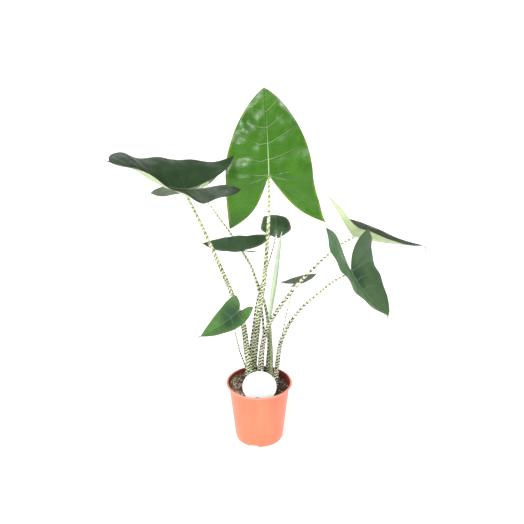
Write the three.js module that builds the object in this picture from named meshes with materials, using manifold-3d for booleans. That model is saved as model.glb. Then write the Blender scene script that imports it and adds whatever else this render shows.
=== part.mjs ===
// A zebrina alocasia in a nursery pot: nine open arrow-shaped leaves and one rolled new leaf,
// on banded stalks that stand in potting soil, with a round plant label at the front.
// Millimetres, +Z up. The origin is the middle of the pot's underside, and -Y is the front.
import * as THREE from 'three';
import { mergeVertices } from 'three/addons/utils/BufferGeometryUtils.js';
import Module from 'manifold-3d';

const wasm = await Module();
wasm.setup();

// Pot
const potHeight = 180;
const potRimRadius = 95;
const potNeckRadius = 84.5;
const potNeckHeight = 146;
const potFootRadius = 69;
const potFootRounding = 5;
const potWall = 2;
const potFloor = 6;
const potSides = 48;
const footRingInner = 58;
const padRadius = 26;
const underRecess = 2.5;
const lipWidth = 6.5;
const lipHeight = 5;
const drainCount = 4;
const drainWidth = 26;
const drainHeight = 7;
const drainReach = 12;
const firstDrainAngle = -103;

// Soil: soilSlope is how far it falls for each millimetre to the right
const soilTop = 166;
const soilSlope = 0.06;
const soilBump = 1.8;
const soilRings = 6;
const stalkDepth = 32;
const holeSides = 16;
const clearance = 0.3;
const pointWidth = 0.05;

// Label: a round disc on a flat stake
const discDiameter = 95;
const discThickness = 1.2;
const discLean = 6;
const discCentre = [1, -64, 199.5];
const stakeWidth = 16;
const stakeLength = 50;
const discSides = 40;

// Leaves
const bladeThickness = 1.1;
const ribHalfWidth = 3.2;
const ribDepth = 3;
const smallLeafWidth = 55;
const stalkTaper = 1.35;

// Each pair of sizes is [right half, left half], seen from the upper side with the tip ahead.
// heading, rise and roll turn the blade at its joint with the stalk; the other angles bend it.
// stalk is its radius at the soil and at the blade, and route its middle line above the soil.
// drip is the length of the narrow drip tip, and dripWidth its half width per millimetre of that.
const plainBlade = {
  belly: 2, taper: 0.8, sinus: [0.5, 0.5], arch: 0, curl: 0, curlFrom: 0.75, back: 0, sway: 0,
  twist: 0, twistBack: 0, foldMid: [0, 0], cup: [0, 0], cupBack: [0, 0],
  wave: 2, waves: 2.5, phase: [0, 1.5], drip: 6, dripWidth: 0.3, rows: 8, lobeRows: 4,
  columns: 4,
  stalkSteps: 20, stalkSides: 10,
};

const leaves = [
  {
    name: 'leaf_top', joint: [26, 20, 789], heading: 96, rise: 75, roll: 2,
    length: 232, width: 116, belly: 1.8, taper: 0.79, lobe: [130, 139], spread: [154, 108],
    sinus: [0.6, 0.5], arch: -4, sway: -3, fold: [8, 8], foldTip: [5, 5], foldBack: [-8, -4],
    wave: 3, drip: 4, rows: 11, lobeRows: 6, columns: 5,
    stalk: [12, 3.4], grip: 10,
    route: [[-20, 20, 168], [-18, 20, 213], [-12, 21, 281], [-3, 20, 367], [5, 20, 429],
      [14, 22, 489], [20, 26, 562], [25, 31, 640], [27, 33, 720]],
  },
  {
    name: 'leaf_left', joint: [-179, -125, 795], heading: 207, rise: 9, roll: 16,
    length: 223, width: 112, belly: 3.06, taper: 0.5, lobe: [163, 120], spread: [75, 97],
    sinus: [0.55, 0.02], arch: 63, curl: -54, curlFrom: 0.45, back: -48, sway: 6, twist: -2,
    twistBack: -13, fold: [29, 12], foldTip: [4, 17], foldMid: [-3, 3], foldBack: [5, 19],
    cup: [-28, 7], cupBack: [9, -27], wave: -4.7, waves: 1.98, phase: [1.64, 1.5],
    drip: 9, rows: 12, lobeRows: 6, columns: 5,
    stalk: [11, 3.4], grip: 9,
    route: [[-26, -8, 168], [-27, -8, 225], [-35, -10, 288], [-44, -16, 369], [-65, -28, 442],
      [-88, -48, 519], [-118, -74, 610], [-149, -104, 703]],
  },
  {
    name: 'leaf_right', joint: [260, 60, 605], heading: 14, rise: -19, roll: -1,
    length: 252, width: 48, belly: 1.98, taper: 0.83, lobe: [114, 42], spread: [92, 42],
    sinus: [0.95, 0.8], arch: 15, curl: -109, curlFrom: 0.83, back: -1, sway: -1, twist: -5,
    twistBack: 14, fold: [53, 49], foldTip: [12, -4], foldBack: [80, 82], cup: [-16, 3],
    cupBack: [4, -30], wave: 1, drip: 32, dripWidth: 0.09, rows: 13, lobeRows: 6, columns: 4,
    stalk: [10, 2.7], grip: 8,
    route: [[3, -4, 168], [4, -4, 236], [9, -4, 291], [18, -3, 338], [34, -1, 377],
      [74, 10, 437], [113, 22, 483], [169, 38, 537], [222, 50, 582]],
  },
  {
    name: 'leaf_hanging', joint: [244, -60, 551], heading: -37, rise: -57, roll: 4,
    length: 166, width: 94, belly: 2.04, taper: 0.73, lobe: [139, 108], spread: [74, 75],
    sinus: [0.21, 0.77], arch: 32, curl: -86, curlFrom: 0.85, back: -29, sway: -8,
    twistBack: -23, fold: [26, 18], foldTip: [25, 16], foldBack: [30, 37], cup: [-8, -11],
    cupBack: [-14, 2], wave: 2.7, phase: [0, 2.5], drip: 12, rows: 10, lobeRows: 6, columns: 5,
    stalk: [8.5, 2.6], grip: 8,
    route: [[48, 8, 168], [48, 8, 186], [53, 7, 240], [59, 4, 293], [69, 0, 330],
      [86, -6, 371], [118, -18, 423], [160, -34, 473], [205, -48, 519]],
  },
  {
    name: 'leaf_low', joint: [-55, -90, 445], heading: 183, rise: -42, roll: 34,
    length: 141, width: 48, belly: 1.85, taper: 0.86, lobe: [29, 52], spread: [36, 33],
    arch: 7, back: -19, sway: 14, twist: -12, fold: [9, 11], foldTip: [8, 21],
    foldBack: [33, 14], wave: 1, drip: 14, dripWidth: 0.15,
    stalk: [2.6, 1.8], grip: 5, stalkSteps: 16, stalkSides: 8,
    route: [[-38, 6, 168], [-38, 6, 218], [-45, 0, 246], [-50, -6, 265], [-55, -14, 286],
      [-59, -22, 310], [-63, -30, 336], [-66, -54, 366], [-62, -78, 410]],
  },
  {
    name: 'leaf_middle', joint: [-46, 92, 550], heading: 183, rise: 2, roll: 1,
    length: 121, width: 62, lobe: [85, 62], spread: [51, 39], arch: 19, back: -5, sway: 3,
    fold: [22, 19], foldTip: [15, 8], foldBack: [37, 19], wave: 1,
    stalk: [5, 2.2], grip: 6,
    route: [[10, 38, 168], [10, 38, 222], [13, 40, 293], [10, 46, 362], [2, 56, 422],
      [-10, 68, 466], [-28, 82, 512]],
  },
  {
    name: 'leaf_far', joint: [49, 170, 588], heading: 90, rise: 66, roll: -4,
    length: 145, width: 45, belly: 1.44, taper: 0.88, lobe: [29, 25], spread: [4, 5],
    sinus: [0, 0], arch: -187, back: 4, sway: -10, twist: -9, fold: [-3, -4],
    foldTip: [-15, -5], foldBack: [-9, -11], cup: [-11, -13], cupBack: [-10, -16],
    wave: 1, drip: 10, rows: 10,
    stalk: [4, 1.8], grip: 8, stalkSteps: 16, stalkSides: 8,
    route: [[-31, 50, 168], [-30, 50, 206], [-26, 56, 259], [-18, 72, 316], [-7, 98, 387],
      [10, 124, 446], [30, 155, 497], [45, 182, 545]],
  },
  {
    name: 'leaf_back', joint: [-175, 230, 692], heading: 162, rise: -13, roll: 7,
    length: 172, width: 61, lobe: [52, 62], spread: [38, 56], arch: 9, curl: -40, curlFrom: 0.8,
    back: -9, fold: [13, 15], foldTip: [10, -7], foldBack: [20, 34], wave: 1, drip: 10,
    stalk: [6, 2.2], grip: 6,
    route: [[25, 31, 168], [25, 33, 228], [28, 40, 281], [24, 50, 355], [11, 66, 416],
      [-8, 88, 459], [-26, 114, 498], [-79, 164, 569], [-126, 198, 624]],
  },
  {
    name: 'leaf_small', joint: [104, 130, 431], heading: 23, rise: 11, roll: -2,
    length: 76, width: 23, lobe: [21, 35], spread: [22, 25], sinus: [0.5, 0.7], arch: 10,
    back: 1, fold: [15, 22], foldTip: [5, 20], foldBack: [16, 18], wave: 0.6, drip: 3,
    stalk: [2.2, 1.4], grip: 4, stalkSteps: 16, stalkSides: 8,
    route: [[50, 35, 168], [50, 35, 201], [55, 37, 238], [60, 41, 268], [66, 48, 297],
      [71, 58, 325], [76, 70, 347], [82, 84, 372], [89, 97, 396], [96, 110, 412]],
  },
];

// The new leaf: a rolled blade on a plain stalk
const rolledLeaf = {
  stalkRadius: [5.6, 5],
  stalkRoute: [[35, 16, 168], [35, 17, 211], [35, 21, 252], [33, 27, 294], [30, 32, 340]],
  bladeRoute: [[29, 33, 372], [33, 34, 400], [37, 37, 434], [42, 41, 466], [46, 45, 498],
    [50, 49, 530], [54, 53, 562], [58, 57, 590], [63, 61, 618]],
  radii: [5, 6.2, 7, 7.1, 6.8, 6, 5, 3.6, 0.9],
  scrollStep: 0.16,
  steps: 20,
  sides: 12,
};

const X = 0;
const Y = 1;
const Z = 2;
const radians = THREE.MathUtils.degToRad;
const clamp01 = (t) => Math.min(Math.max(t, 0), 1);
const smooth = (t) => clamp01(t) ** 2 * (3 - 2 * clamp01(t));

function signedVolume(points, triangles) {
  let sum = 0;
  for (const [a, b, c] of triangles) {
    const p = points[a];
    const q = points[b];
    const r = points[c];
    sum += p[X] * (q[Y] * r[Z] - q[Z] * r[Y]) + p[Y] * (q[Z] * r[X] - q[X] * r[Z])
      + p[Z] * (q[X] * r[Y] - q[Y] * r[X]);
  }
  return sum / 6;
}

// A closed body whose faces all turn the same way, turned outwards
function closedBody(points, triangles) {
  const inward = signedVolume(points, triangles) < 0;
  const facing = inward ? triangles.map(([a, b, c]) => [a, c, b]) : triangles;
  const geometry = new THREE.BufferGeometry();
  geometry.setAttribute('position', new THREE.Float32BufferAttribute(points.flat(), 3));
  geometry.setIndex(facing.flat());
  return geometry;
}

function solidFrom(geometry) {
  const bare = geometry.clone();
  bare.deleteAttribute('normal');
  bare.deleteAttribute('uv');
  const merged = mergeVertices(bare, 1e-4);
  return new wasm.Manifold(new wasm.Mesh({
    numProp: 3,
    vertProperties: new Float32Array(merged.attributes.position.array),
    triVerts: new Uint32Array(merged.index.array),
  }));
}

function geometryOf(solid) {
  const mesh = solid.getMesh();
  const geometry = new THREE.BufferGeometry();
  geometry.setAttribute('position', new THREE.Float32BufferAttribute(mesh.vertProperties, 3));
  geometry.setIndex(new THREE.Uint32BufferAttribute(mesh.triVerts, 1));
  return geometry;
}

// The flat outline of one half of a blade: how far out it runs at a distance y ahead of the
// joint, or behind it where y is negative, and where its inner edge lies beside the sinus
function outerEdge(leaf, half, y) {
  if (y < 0) {
    const u = clamp01(-y / leaf.lobe[half]);
    return leaf.width + (leaf.spread[half] - leaf.width) * u ** 1.5;
  }
  const body = leaf.length - leaf.drip;
  const broad = leaf.width * (1 - clamp01(y / body) ** leaf.belly) ** leaf.taper;
  const dripTip = leaf.dripWidth * Math.min(leaf.length - y, leaf.drip);
  return Math.max(broad, dripTip);
}

function innerEdge(leaf, half, y) {
  if (y >= 0) return 0;
  const u = clamp01(-y / leaf.lobe[half]);
  const straight = leaf.sinus[half];
  return leaf.spread[half] * (straight * u + (1 - straight) * u ** 4.5);
}

// The midrib as a bent line: its place and its cross and upward directions at y. Behind the
// joint it is the line that the two lobes hang from.
function midrib(leaf) {
  const behind = Math.max(...leaf.lobe);
  const step = 1.5;
  const frameAt = (y) => {
    const t = clamp01(y / leaf.length);
    const u = clamp01(-y / behind);
    const tipTurn = leaf.curl * smooth((t - leaf.curlFrom) / (1 - leaf.curlFrom));
    const pitch = radians(leaf.arch * t + tipTurn + leaf.back * u);
    const yaw = radians(leaf.sway * t);
    const roll = radians(leaf.twist * t + leaf.twistBack * u);
    const ahead = new THREE.Vector3(
      Math.sin(yaw) * Math.cos(pitch), Math.cos(yaw) * Math.cos(pitch), Math.sin(pitch));
    const level = new THREE.Vector3(Math.cos(yaw), -Math.sin(yaw), 0);
    const up = level.clone().cross(ahead);
    const cross = level.clone().multiplyScalar(Math.cos(roll)).addScaledVector(up, Math.sin(roll));
    const above = up.multiplyScalar(Math.cos(roll)).addScaledVector(level, -Math.sin(roll));
    return { ahead, cross, above };
  };
  const walk = (span) => {
    const count = Math.ceil(Math.abs(span) / step);
    const places = [new THREE.Vector3()];
    for (let i = 1; i <= count; i += 1) {
      const middle = frameAt(span * (i - 0.5) / count).ahead;
      places.push(places[i - 1].clone().addScaledVector(middle, span / count));
    }
    return places;
  };
  const front = walk(leaf.length);
  const rear = walk(-behind);
  return (y) => {
    const places = y >= 0 ? front : rear;
    const f = clamp01(y >= 0 ? y / leaf.length : -y / behind) * (places.length - 1);
    const i = Math.min(Math.floor(f), places.length - 2);
    const place = places[i].clone().lerp(places[i + 1], f - i);
    return { place, ...frameAt(y) };
  };
}

function bladeTurn(leaf) {
  const heading = radians(leaf.heading);
  const rise = radians(leaf.rise);
  const roll = radians(leaf.roll);
  const ahead = new THREE.Vector3(
    Math.cos(heading) * Math.cos(rise), Math.sin(heading) * Math.cos(rise), Math.sin(rise));
  const level = new THREE.Vector3(Math.sin(heading), -Math.cos(heading), 0);
  const up = level.clone().cross(ahead);
  const right = level.clone().multiplyScalar(Math.cos(roll)).addScaledVector(up, Math.sin(roll));
  const above = up.multiplyScalar(Math.cos(roll)).addScaledVector(level, -Math.sin(roll));
  return new THREE.Matrix4().makeBasis(right, ahead, above);
}

// The blade's middle surface: (half, x out from the midrib, y along it) to a place
function bladeSurface(leaf) {
  const rib = midrib(leaf);
  const turn = bladeTurn(leaf);
  const joint = new THREE.Vector3(...leaf.joint);
  return (half, x, y) => {
    const { place, cross, above } = rib(y);
    const t = smooth(y / leaf.length);
    const u = smooth(-y / leaf.lobe[half]);
    const bulge = leaf.foldMid[half] * Math.sin(Math.PI * clamp01(y / leaf.length));
    const fold = radians(leaf.fold[half] + (leaf.foldTip[half] - leaf.fold[half]) * t
      + (leaf.foldBack[half] - leaf.fold[half]) * u + bulge);
    const cup = leaf.cup[half] + (leaf.cupBack[half] - leaf.cup[half]) * u;
    const bend = Math.abs(cup) < 0.01 ? 1e-7 : radians(cup) / leaf.width;
    const slope = fold + bend * x;
    const ripple = leaf.wave * (x / leaf.width) ** 2
      * Math.sin(2 * Math.PI * leaf.waves * y / leaf.length + leaf.phase[half]);
    const out = (Math.sin(slope) - Math.sin(fold)) / bend - Math.sin(slope) * ripple;
    const lift = (Math.cos(fold) - Math.cos(slope)) / bend + Math.cos(slope) * ripple;
    return place.addScaledVector(cross, half === 0 ? out : -out).addScaledVector(above, lift)
      .applyMatrix4(turn).add(joint);
  };
}

// The direction away from the upper side of the blade
function upperNormal(surface, half, x, y) {
  const d = 0.4;
  const across = surface(half, x + d, y).sub(surface(half, Math.max(x - d, 0), y));
  const along = surface(half, x, y + d).sub(surface(half, x, y - d));
  const normal = half === 0 ? across.cross(along) : along.cross(across);
  return normal.normalize();
}

// How far the midrib stands out below the blade: most at the joint, fading towards the tip
function ribAt(leaf, x, y) {
  if (y < 0 || x > 0) return 0;
  const depth = leaf.width > smallLeafWidth ? ribDepth : 0.6 * ribDepth;
  return depth * (1 - 0.9 * clamp01(y / leaf.length));
}

const rowPlace = (i, count) => Math.sin(Math.PI / 2 * i / count);

// A blade is one grid of points per half, in rows across the midrib. Both halves share the
// midrib ahead of the joint; behind it each has its own inner edge beside the sinus.
function bladeGeometry(leaf) {
  const surface = bladeSurface(leaf);
  const points = [];
  const triangles = [];
  const addPair = (half, x, y) => {
    const middle = surface(half, x, y);
    let normal = upperNormal(surface, half, x, y);
    if (x === 0 && y >= 0) {
      normal = normal.add(upperNormal(surface, 1 - half, x, y)).normalize();
    }
    const upper = middle.clone().addScaledVector(normal, bladeThickness / 2);
    const lower = middle.addScaledVector(normal, -bladeThickness / 2 - ribAt(leaf, x, y));
    points.push(upper.toArray(), lower.toArray());
    return points.length - 2;
  };
  const rib = ribHalfWidth / leaf.width;
  const share = (j) => (j === 0 ? 0 : rib + (1 - rib) * (j - 1) / (leaf.columns - 1));
  const row = (half, y, first) => {
    const inner = innerEdge(leaf, half, y);
    const outer = outerEdge(leaf, half, y);
    if (outer - inner < pointWidth) {
      return Array(leaf.columns + 1).fill(first ?? addPair(half, outer, y));
    }
    const list = [];
    for (let j = 0; j <= leaf.columns; j += 1) {
      const shared = j === 0 && first !== undefined;
      list.push(shared ? first : addPair(half, inner + (outer - inner) * share(j), y));
    }
    return list;
  };
  const quad = (a, b, c, d) => {
    const corners = [[a, b, c], [a, c, d]];
    for (const [p, q, r] of corners.filter(([i, j, k]) => i !== j && j !== k && k !== i)) {
      triangles.push([p, q, r], [p + 1, r + 1, q + 1]);
    }
  };
  const spine = [];
  for (let i = 0; i <= leaf.rows; i += 1) {
    spine.push(addPair(0, 0, leaf.length * rowPlace(i, leaf.rows)));
  }
  const rim = [[], []];
  for (const half of [0, 1]) {
    const rows = [];
    for (let i = leaf.lobeRows; i > 0; i -= 1) {
      rows.push(row(half, -leaf.lobe[half] * rowPlace(i, leaf.lobeRows)));
    }
    for (let i = 0; i <= leaf.rows; i += 1) {
      rows.push(row(half, leaf.length * rowPlace(i, leaf.rows), spine[i]));
    }
    for (let i = 0; i + 1 < rows.length; i += 1) {
      for (let j = 0; j < leaf.columns; j += 1) {
        const corners = [rows[i][j], rows[i][j + 1], rows[i + 1][j + 1], rows[i + 1][j]];
        quad(...(half === 0 ? corners : corners.reverse()));
      }
    }
    const innerSide = rows.slice(0, leaf.lobeRows + 1).map((list) => list[0]).reverse();
    const outerSide = rows.map((list) => list[leaf.columns]);
    rim[half] = [...innerSide, ...outerSide.slice(1)];
  }
  const loop = [...rim[0], ...rim[1].slice(1, -1).reverse()];
  loop.forEach((a, i) => {
    const b = loop[(i + 1) % loop.length];
    if (a !== b) {
      triangles.push([a, a + 1, b + 1], [a, b + 1, b]);
    }
  });
  return closedBody(points, triangles);
}

// A round stem along a curve, closed at both ends. radiusAt takes the share of its length and
// the angle round it. The last ring can be cut to a plane, where the stem meets a blade.
function stemBody(curve, steps, sides, radiusAt, cut = undefined) {
  const points = [];
  const triangles = [];
  const frames = curve.computeFrenetFrames(steps, false);
  for (let i = 0; i <= steps; i += 1) {
    const share = i / steps;
    const centre = curve.getPointAt(share);
    for (let j = 0; j < sides; j += 1) {
      const angle = 2 * Math.PI * j / sides;
      const radius = radiusAt(share, angle);
      const point = centre.clone()
        .addScaledVector(frames.normals[i], radius * Math.cos(angle))
        .addScaledVector(frames.binormals[i], radius * Math.sin(angle));
      if (cut && i === steps) {
        const along = frames.tangents[i];
        const height = point.clone().sub(cut.place).dot(cut.normal);
        point.addScaledVector(along, -height / along.dot(cut.normal));
      }
      points.push(point.toArray());
    }
  }
  for (let i = 0; i < steps; i += 1) {
    for (let j = 0; j < sides; j += 1) {
      const k = (j + 1) % sides;
      const a = i * sides + j;
      const b = i * sides + k;
      triangles.push([a, b, b + sides], [a, b + sides, a + sides]);
    }
  }
  const last = steps * sides;
  for (let j = 1; j + 1 < sides; j += 1) {
    triangles.push([0, j + 1, j], [last, last + j, last + j + 1]);
  }
  return closedBody(points, triangles);
}

const stalkFoot = soilTop - stalkDepth;

function routeCurve(route) {
  const foot = [route[0][X], route[0][Y], stalkFoot];
  const places = [foot, ...route].map((p) => new THREE.Vector3(...p));
  return new THREE.CatmullRomCurve3(places, false, 'centripetal');
}

function stalkRadius([foot, top]) {
  return (share) => top + (foot - top) * (1 - share) ** stalkTaper;
}

// A leaf stalk runs from the soil to the underside of its blade, where it is cut flush, low
// enough to clear a blade that bends down over it
function stalkGeometry(leaf) {
  const surface = bladeSurface(leaf);
  const normal = upperNormal(surface, 0, 0, 0).add(upperNormal(surface, 1, 0, 0)).normalize();
  const start = surface(0, 0, 0);
  const ahead = surface(0, 0, leaf.length * rowPlace(1, leaf.rows)).sub(start).normalize();
  const sag = Math.max(0, -1.2 * leaf.grip * ahead.dot(normal));
  const under = bladeThickness / 2 + ribAt(leaf, 0, 0) + sag + clearance;
  const seat = start.addScaledVector(normal, -under);
  const middle = seat.clone().addScaledVector(ahead, leaf.grip / 2);
  const curve = routeCurve([...leaf.route, middle.toArray()]);
  return stemBody(curve, leaf.stalkSteps, leaf.stalkSides, stalkRadius(leaf.stalk),
    { place: seat, normal });
}

const rolledCurve = new THREE.CatmullRomCurve3(
  rolledLeaf.bladeRoute.map((p) => new THREE.Vector3(...p)), false, 'centripetal');

// The rolled blade's section is a scroll: its edge steps over the turn below
function rolledGeometry() {
  const { radii, scrollStep, steps, sides } = rolledLeaf;
  const radiusAt = (share, angle) => {
    const f = share * (radii.length - 1);
    const i = Math.min(Math.floor(f), radii.length - 2);
    const scroll = scrollStep * angle / (2 * Math.PI) * Math.sin(Math.PI * share);
    return (radii[i] + (radii[i + 1] - radii[i]) * (f - i)) * (1 + scroll);
  };
  return stemBody(rolledCurve, steps, sides, radiusAt);
}

function rolledStalkGeometry() {
  const normal = rolledCurve.getTangentAt(0);
  const place = rolledCurve.getPointAt(0).addScaledVector(normal, -clearance);
  const curve = routeCurve([...rolledLeaf.stalkRoute, place.toArray()]);
  return stemBody(curve, plainBlade.stalkSteps, plainBlade.stalkSides,
    stalkRadius(rolledLeaf.stalkRadius), { place, normal });
}

// Pot: a turned shell with a flared collar, a rolled lip and a stepped underside
function potRadiusAt(z) {
  return potFootRadius + (potNeckRadius - potFootRadius) * z / potNeckHeight;
}

// The collar widens towards the lip above the neck
function collarRadiusAt(z) {
  const f = (z - potNeckHeight) / (potHeight - potNeckHeight);
  return potNeckRadius + (potRimRadius - lipWidth + potWall - potNeckRadius) * f ** 1.5;
}

const wallRadiusAt = (z) => (z > potNeckHeight ? collarRadiusAt(z) : potRadiusAt(z));

function potGeometry() {
  const lipInner = potRimRadius - lipWidth;
  const flare = [0.3, 0.6].map((f) => {
    const z = potNeckHeight + (potHeight - potNeckHeight) * f;
    return [collarRadiusAt(z), z];
  });
  const lip = [
    [lipInner + potWall, potHeight - lipHeight], [potRimRadius - 1, potHeight - lipHeight],
    [potRimRadius, potHeight - 0.6 * lipHeight], [potRimRadius - 1, potHeight - 0.15 * lipHeight],
    [potRimRadius - 0.5 * lipWidth, potHeight], [lipInner + 0.8, potHeight - 0.2 * lipHeight],
    [lipInner, potHeight - 0.6 * lipHeight],
  ];
  const inside = (z) => potRadiusAt(z) - potWall;
  const corner = 4;
  const profile = [
    [0, 0], [padRadius, 0], [padRadius + 2, underRecess], [footRingInner, underRecess],
    [footRingInner + 2, 0], [potFootRadius - potFootRounding, 0],
    [potFootRadius - potFootRounding * 0.3, potFootRounding * 0.3],
    [potRadiusAt(potFootRounding), potFootRounding],
    [potNeckRadius, potNeckHeight],
    ...flare, ...lip,
    ...flare.toReversed().map(([r, z]) => [r - potWall, z]),
    [inside(potNeckHeight), potNeckHeight],
    [inside(potFloor + corner), potFloor + corner],
    [inside(potFloor + corner) - corner, potFloor], [0, potFloor],
  ].map(([r, z]) => new THREE.Vector2(r, z));
  const shell = new THREE.LatheGeometry(profile, potSides).rotateX(Math.PI / 2);
  let body = solidFrom(shell);
  for (let i = 0; i < drainCount; i += 1) {
    const angle = radians(firstDrainAngle + 360 * i / drainCount);
    const notch = new THREE.BoxGeometry(2 * drainReach, drainWidth, 2 * drainHeight)
      .translate(potFootRadius, 0, 0)
      .rotateZ(angle);
    body = body.subtract(solidFrom(notch));
  }
  return geometryOf(body);
}

// Soil: higher at the left, with low lumps, and a hole for each stalk and for the stake
function soilHeight(x, y) {
  const slope = -soilSlope * x;
  const lumps = Math.sin(x * 0.13 + 1) * Math.cos(y * 0.11) + 0.6 * Math.sin(x * 0.29 - y * 0.23);
  return soilTop + slope + soilBump * lumps;
}

function soilGeometry() {
  const rings = soilRings;
  const sides = potSides;
  const corner = 6;
  const points = [[0, 0, soilHeight(0, 0)]];
  const insideAt = (z) => wallRadiusAt(z) - potWall - 2 * clearance;
  const addRing = (turn, placeAt) => {
    for (let j = 0; j < sides; j += 1) {
      const angle = 2 * Math.PI * (j + turn) / sides;
      const { r, z } = placeAt(Math.cos(angle), Math.sin(angle));
      points.push([r * Math.cos(angle), r * Math.sin(angle), z]);
    }
  };
  for (let i = 1; i <= rings; i += 1) {
    addRing(0.5 * (i % 2), (cos, sin) => {
      const edge = insideAt(soilHeight(insideAt(soilTop) * cos, insideAt(soilTop) * sin));
      const r = edge * i / rings;
      return { r, z: soilHeight(r * cos, r * sin) };
    });
  }
  const below = [potNeckHeight + 10, potNeckHeight, potFloor + corner];
  for (const z of below) {
    addRing(0, () => ({ r: insideAt(z), z }));
  }
  addRing(0, () => ({ r: insideAt(potFloor + corner) - corner, z: potFloor + clearance }));
  points.push([0, 0, potFloor + clearance]);
  const triangles = [];
  const bottom = points.length - 1;
  for (let j = 0; j < sides; j += 1) {
    const k = (j + 1) % sides;
    triangles.push([0, 1 + j, 1 + k], [bottom, bottom - sides + k, bottom - sides + j]);
    for (let i = 0; i < rings + below.length; i += 1) {
      const [a, b] = [1 + i * sides, 1 + (i + 1) * sides];
      const leaning = i < rings && i % 2 === 0;
      const [p, q] = leaning ? [a + j, b + k] : [b + j, a + k];
      triangles.push([a + j, b + j, q], [a + k, p, b + k]);
    }
  }
  let body = solidFrom(closedBody(points, triangles));
  const stalks = leaves.map((leaf) => [leaf.route[0], leaf.stalk[0]]);
  stalks.push([rolledLeaf.stalkRoute[0], rolledLeaf.stalkRadius[0]]);
  const depth = 2 * stalkDepth;
  for (const [place, radius] of stalks) {
    const width = radius + 2 * clearance;
    const plug = new THREE.CylinderGeometry(width, width, depth, holeSides)
      .rotateX(Math.PI / 2)
      .translate(place[X], place[Y], stalkFoot - clearance + depth / 2);
    body = body.subtract(solidFrom(plug));
  }
  return geometryOf(body.subtract(labelBody(clearance)));
}

// Label: built upright and facing the front, then leaned back. The slot that it stands in is
// the same form with a margin all round.
function labelBody(margin) {
  const radius = discDiameter / 2;
  const thickness = discThickness + 2 * margin;
  const disc = new THREE.CylinderGeometry(radius + margin, radius + margin, thickness,
    discSides);
  const length = stakeLength + margin + radius / 2;
  const stake = new THREE.BoxGeometry(stakeWidth + 2 * margin, thickness, length)
    .translate(0, 0, -radius / 2 - length / 2);
  const lean = (geometry) => solidFrom(
    geometry.rotateX(radians(-discLean)).translate(...discCentre));
  return lean(disc).add(lean(stake));
}

const finish = (color, roughness) => new THREE.MeshStandardMaterial({
  color, roughness, metalness: 0,
});
const terracottaPlastic = finish('#f58d69', 0.45);
const peat = finish('#3a2a20', 0.95);
const whitePlastic = finish('#f2f8f7', 0.4);
const youngGreen = finish('#5b9a35', 0.35);
const darkGreen = finish('#3f5a40', 0.35);
const midGreen = finish('#5d8a4e', 0.35);
const newLeafGreen = finish('#c9dfc4', 0.5);
const stalkGreen = finish('#a9b26b', 0.5);
const bladeFinish = {
  leaf_top: youngGreen, leaf_low: midGreen, leaf_hanging: midGreen,
};

const plant = new THREE.Group();

function add(name, geometry, material) {
  const mesh = new THREE.Mesh(geometry, material);
  mesh.name = name;
  plant.add(mesh);
}

add('pot', potGeometry(), terracottaPlastic);
add('potting_soil', soilGeometry(), peat);
add('label', geometryOf(labelBody(0)), whitePlastic);
for (const leaf of leaves) {
  const whole = { ...plainBlade, ...leaf };
  add(`${leaf.name}_blade`, bladeGeometry(whole), bladeFinish[leaf.name] ?? darkGreen);
  add(`${leaf.name}_stalk`, stalkGeometry(whole), stalkGreen);
}
add('rolled_leaf_blade', rolledGeometry(), newLeafGreen);
add('rolled_leaf_stalk', rolledStalkGeometry(), stalkGreen);

export default plant;
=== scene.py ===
"""A zebrina alocasia in a nursery pot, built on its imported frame. Run as a script in Blender 4.5."""

import math
import random
from bisect import bisect_right

import bmesh
import bpy
from bpy.props import FloatProperty, FloatVectorProperty, IntProperty, PointerProperty
from bpy.types import Operator, Panel, PropertyGroup
from mathutils import Matrix, Vector, noise
from mathutils.geometry import interpolate_bezier


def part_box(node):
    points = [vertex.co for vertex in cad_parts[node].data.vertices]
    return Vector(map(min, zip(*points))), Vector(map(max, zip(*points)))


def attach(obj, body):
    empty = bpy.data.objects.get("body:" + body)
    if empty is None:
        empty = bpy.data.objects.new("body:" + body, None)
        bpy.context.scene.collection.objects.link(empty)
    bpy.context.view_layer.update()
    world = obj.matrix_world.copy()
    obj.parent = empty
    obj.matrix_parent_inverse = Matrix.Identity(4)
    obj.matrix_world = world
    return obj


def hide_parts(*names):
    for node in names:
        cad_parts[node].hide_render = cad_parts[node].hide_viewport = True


bl_info = {
    "name": "Potted Zebrina Alocasia",
    "version": (1, 0, 0),
    "blender": (4, 5, 0),
    "location": "View3D > Sidebar > Alocasia",
    "description": "Builds a zebrina alocasia with banded stalks in a nursery pot",
    "category": "Add Mesh",
}

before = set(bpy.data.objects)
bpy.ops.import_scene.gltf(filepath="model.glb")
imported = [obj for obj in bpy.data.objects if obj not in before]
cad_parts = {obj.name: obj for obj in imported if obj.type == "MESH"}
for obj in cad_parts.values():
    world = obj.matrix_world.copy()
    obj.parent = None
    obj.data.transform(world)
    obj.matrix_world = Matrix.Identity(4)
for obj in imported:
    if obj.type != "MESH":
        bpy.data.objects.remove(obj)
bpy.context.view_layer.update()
pot_low, pot_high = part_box("pot")

# The forms below are in millimetres and degrees. A mesh gets them in metres.
MM = 0.001
# How near two points of a mesh are welded, in metres
weld = 1e-6

# Pot and soil
pot_neck_radius = 84.5
pot_neck_height = 146
pot_foot_radius = 69
foot_rounding = 5
wall_slope = (pot_neck_radius - pot_foot_radius) / pot_neck_height
pot_floor = 6
foot_ring_inner = 58
pad_radius = 26
pad_height = 0.6
under_recess = 2.5
lip_width = 6.5
lip_height = 5
drain_count = 4
drain_width = 26
drain_height = 7
drain_reach = 12
drain_rounding = 1.5
first_drain_angle = -103
soil_top = 166
soil_slope = 0.06
soil_bump = 1.8
stalk_depth = 32
stalk_taper = 1.35
clearance = 0.3
pot_sides = 128
soil_sides = 150
soil_rings = 56
# Share of dry crumbs at the middle, and how it falls for each millimetre to the right
dry_share = 0.3
dry_slope = 0.0025
crumb_seed = 11

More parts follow.
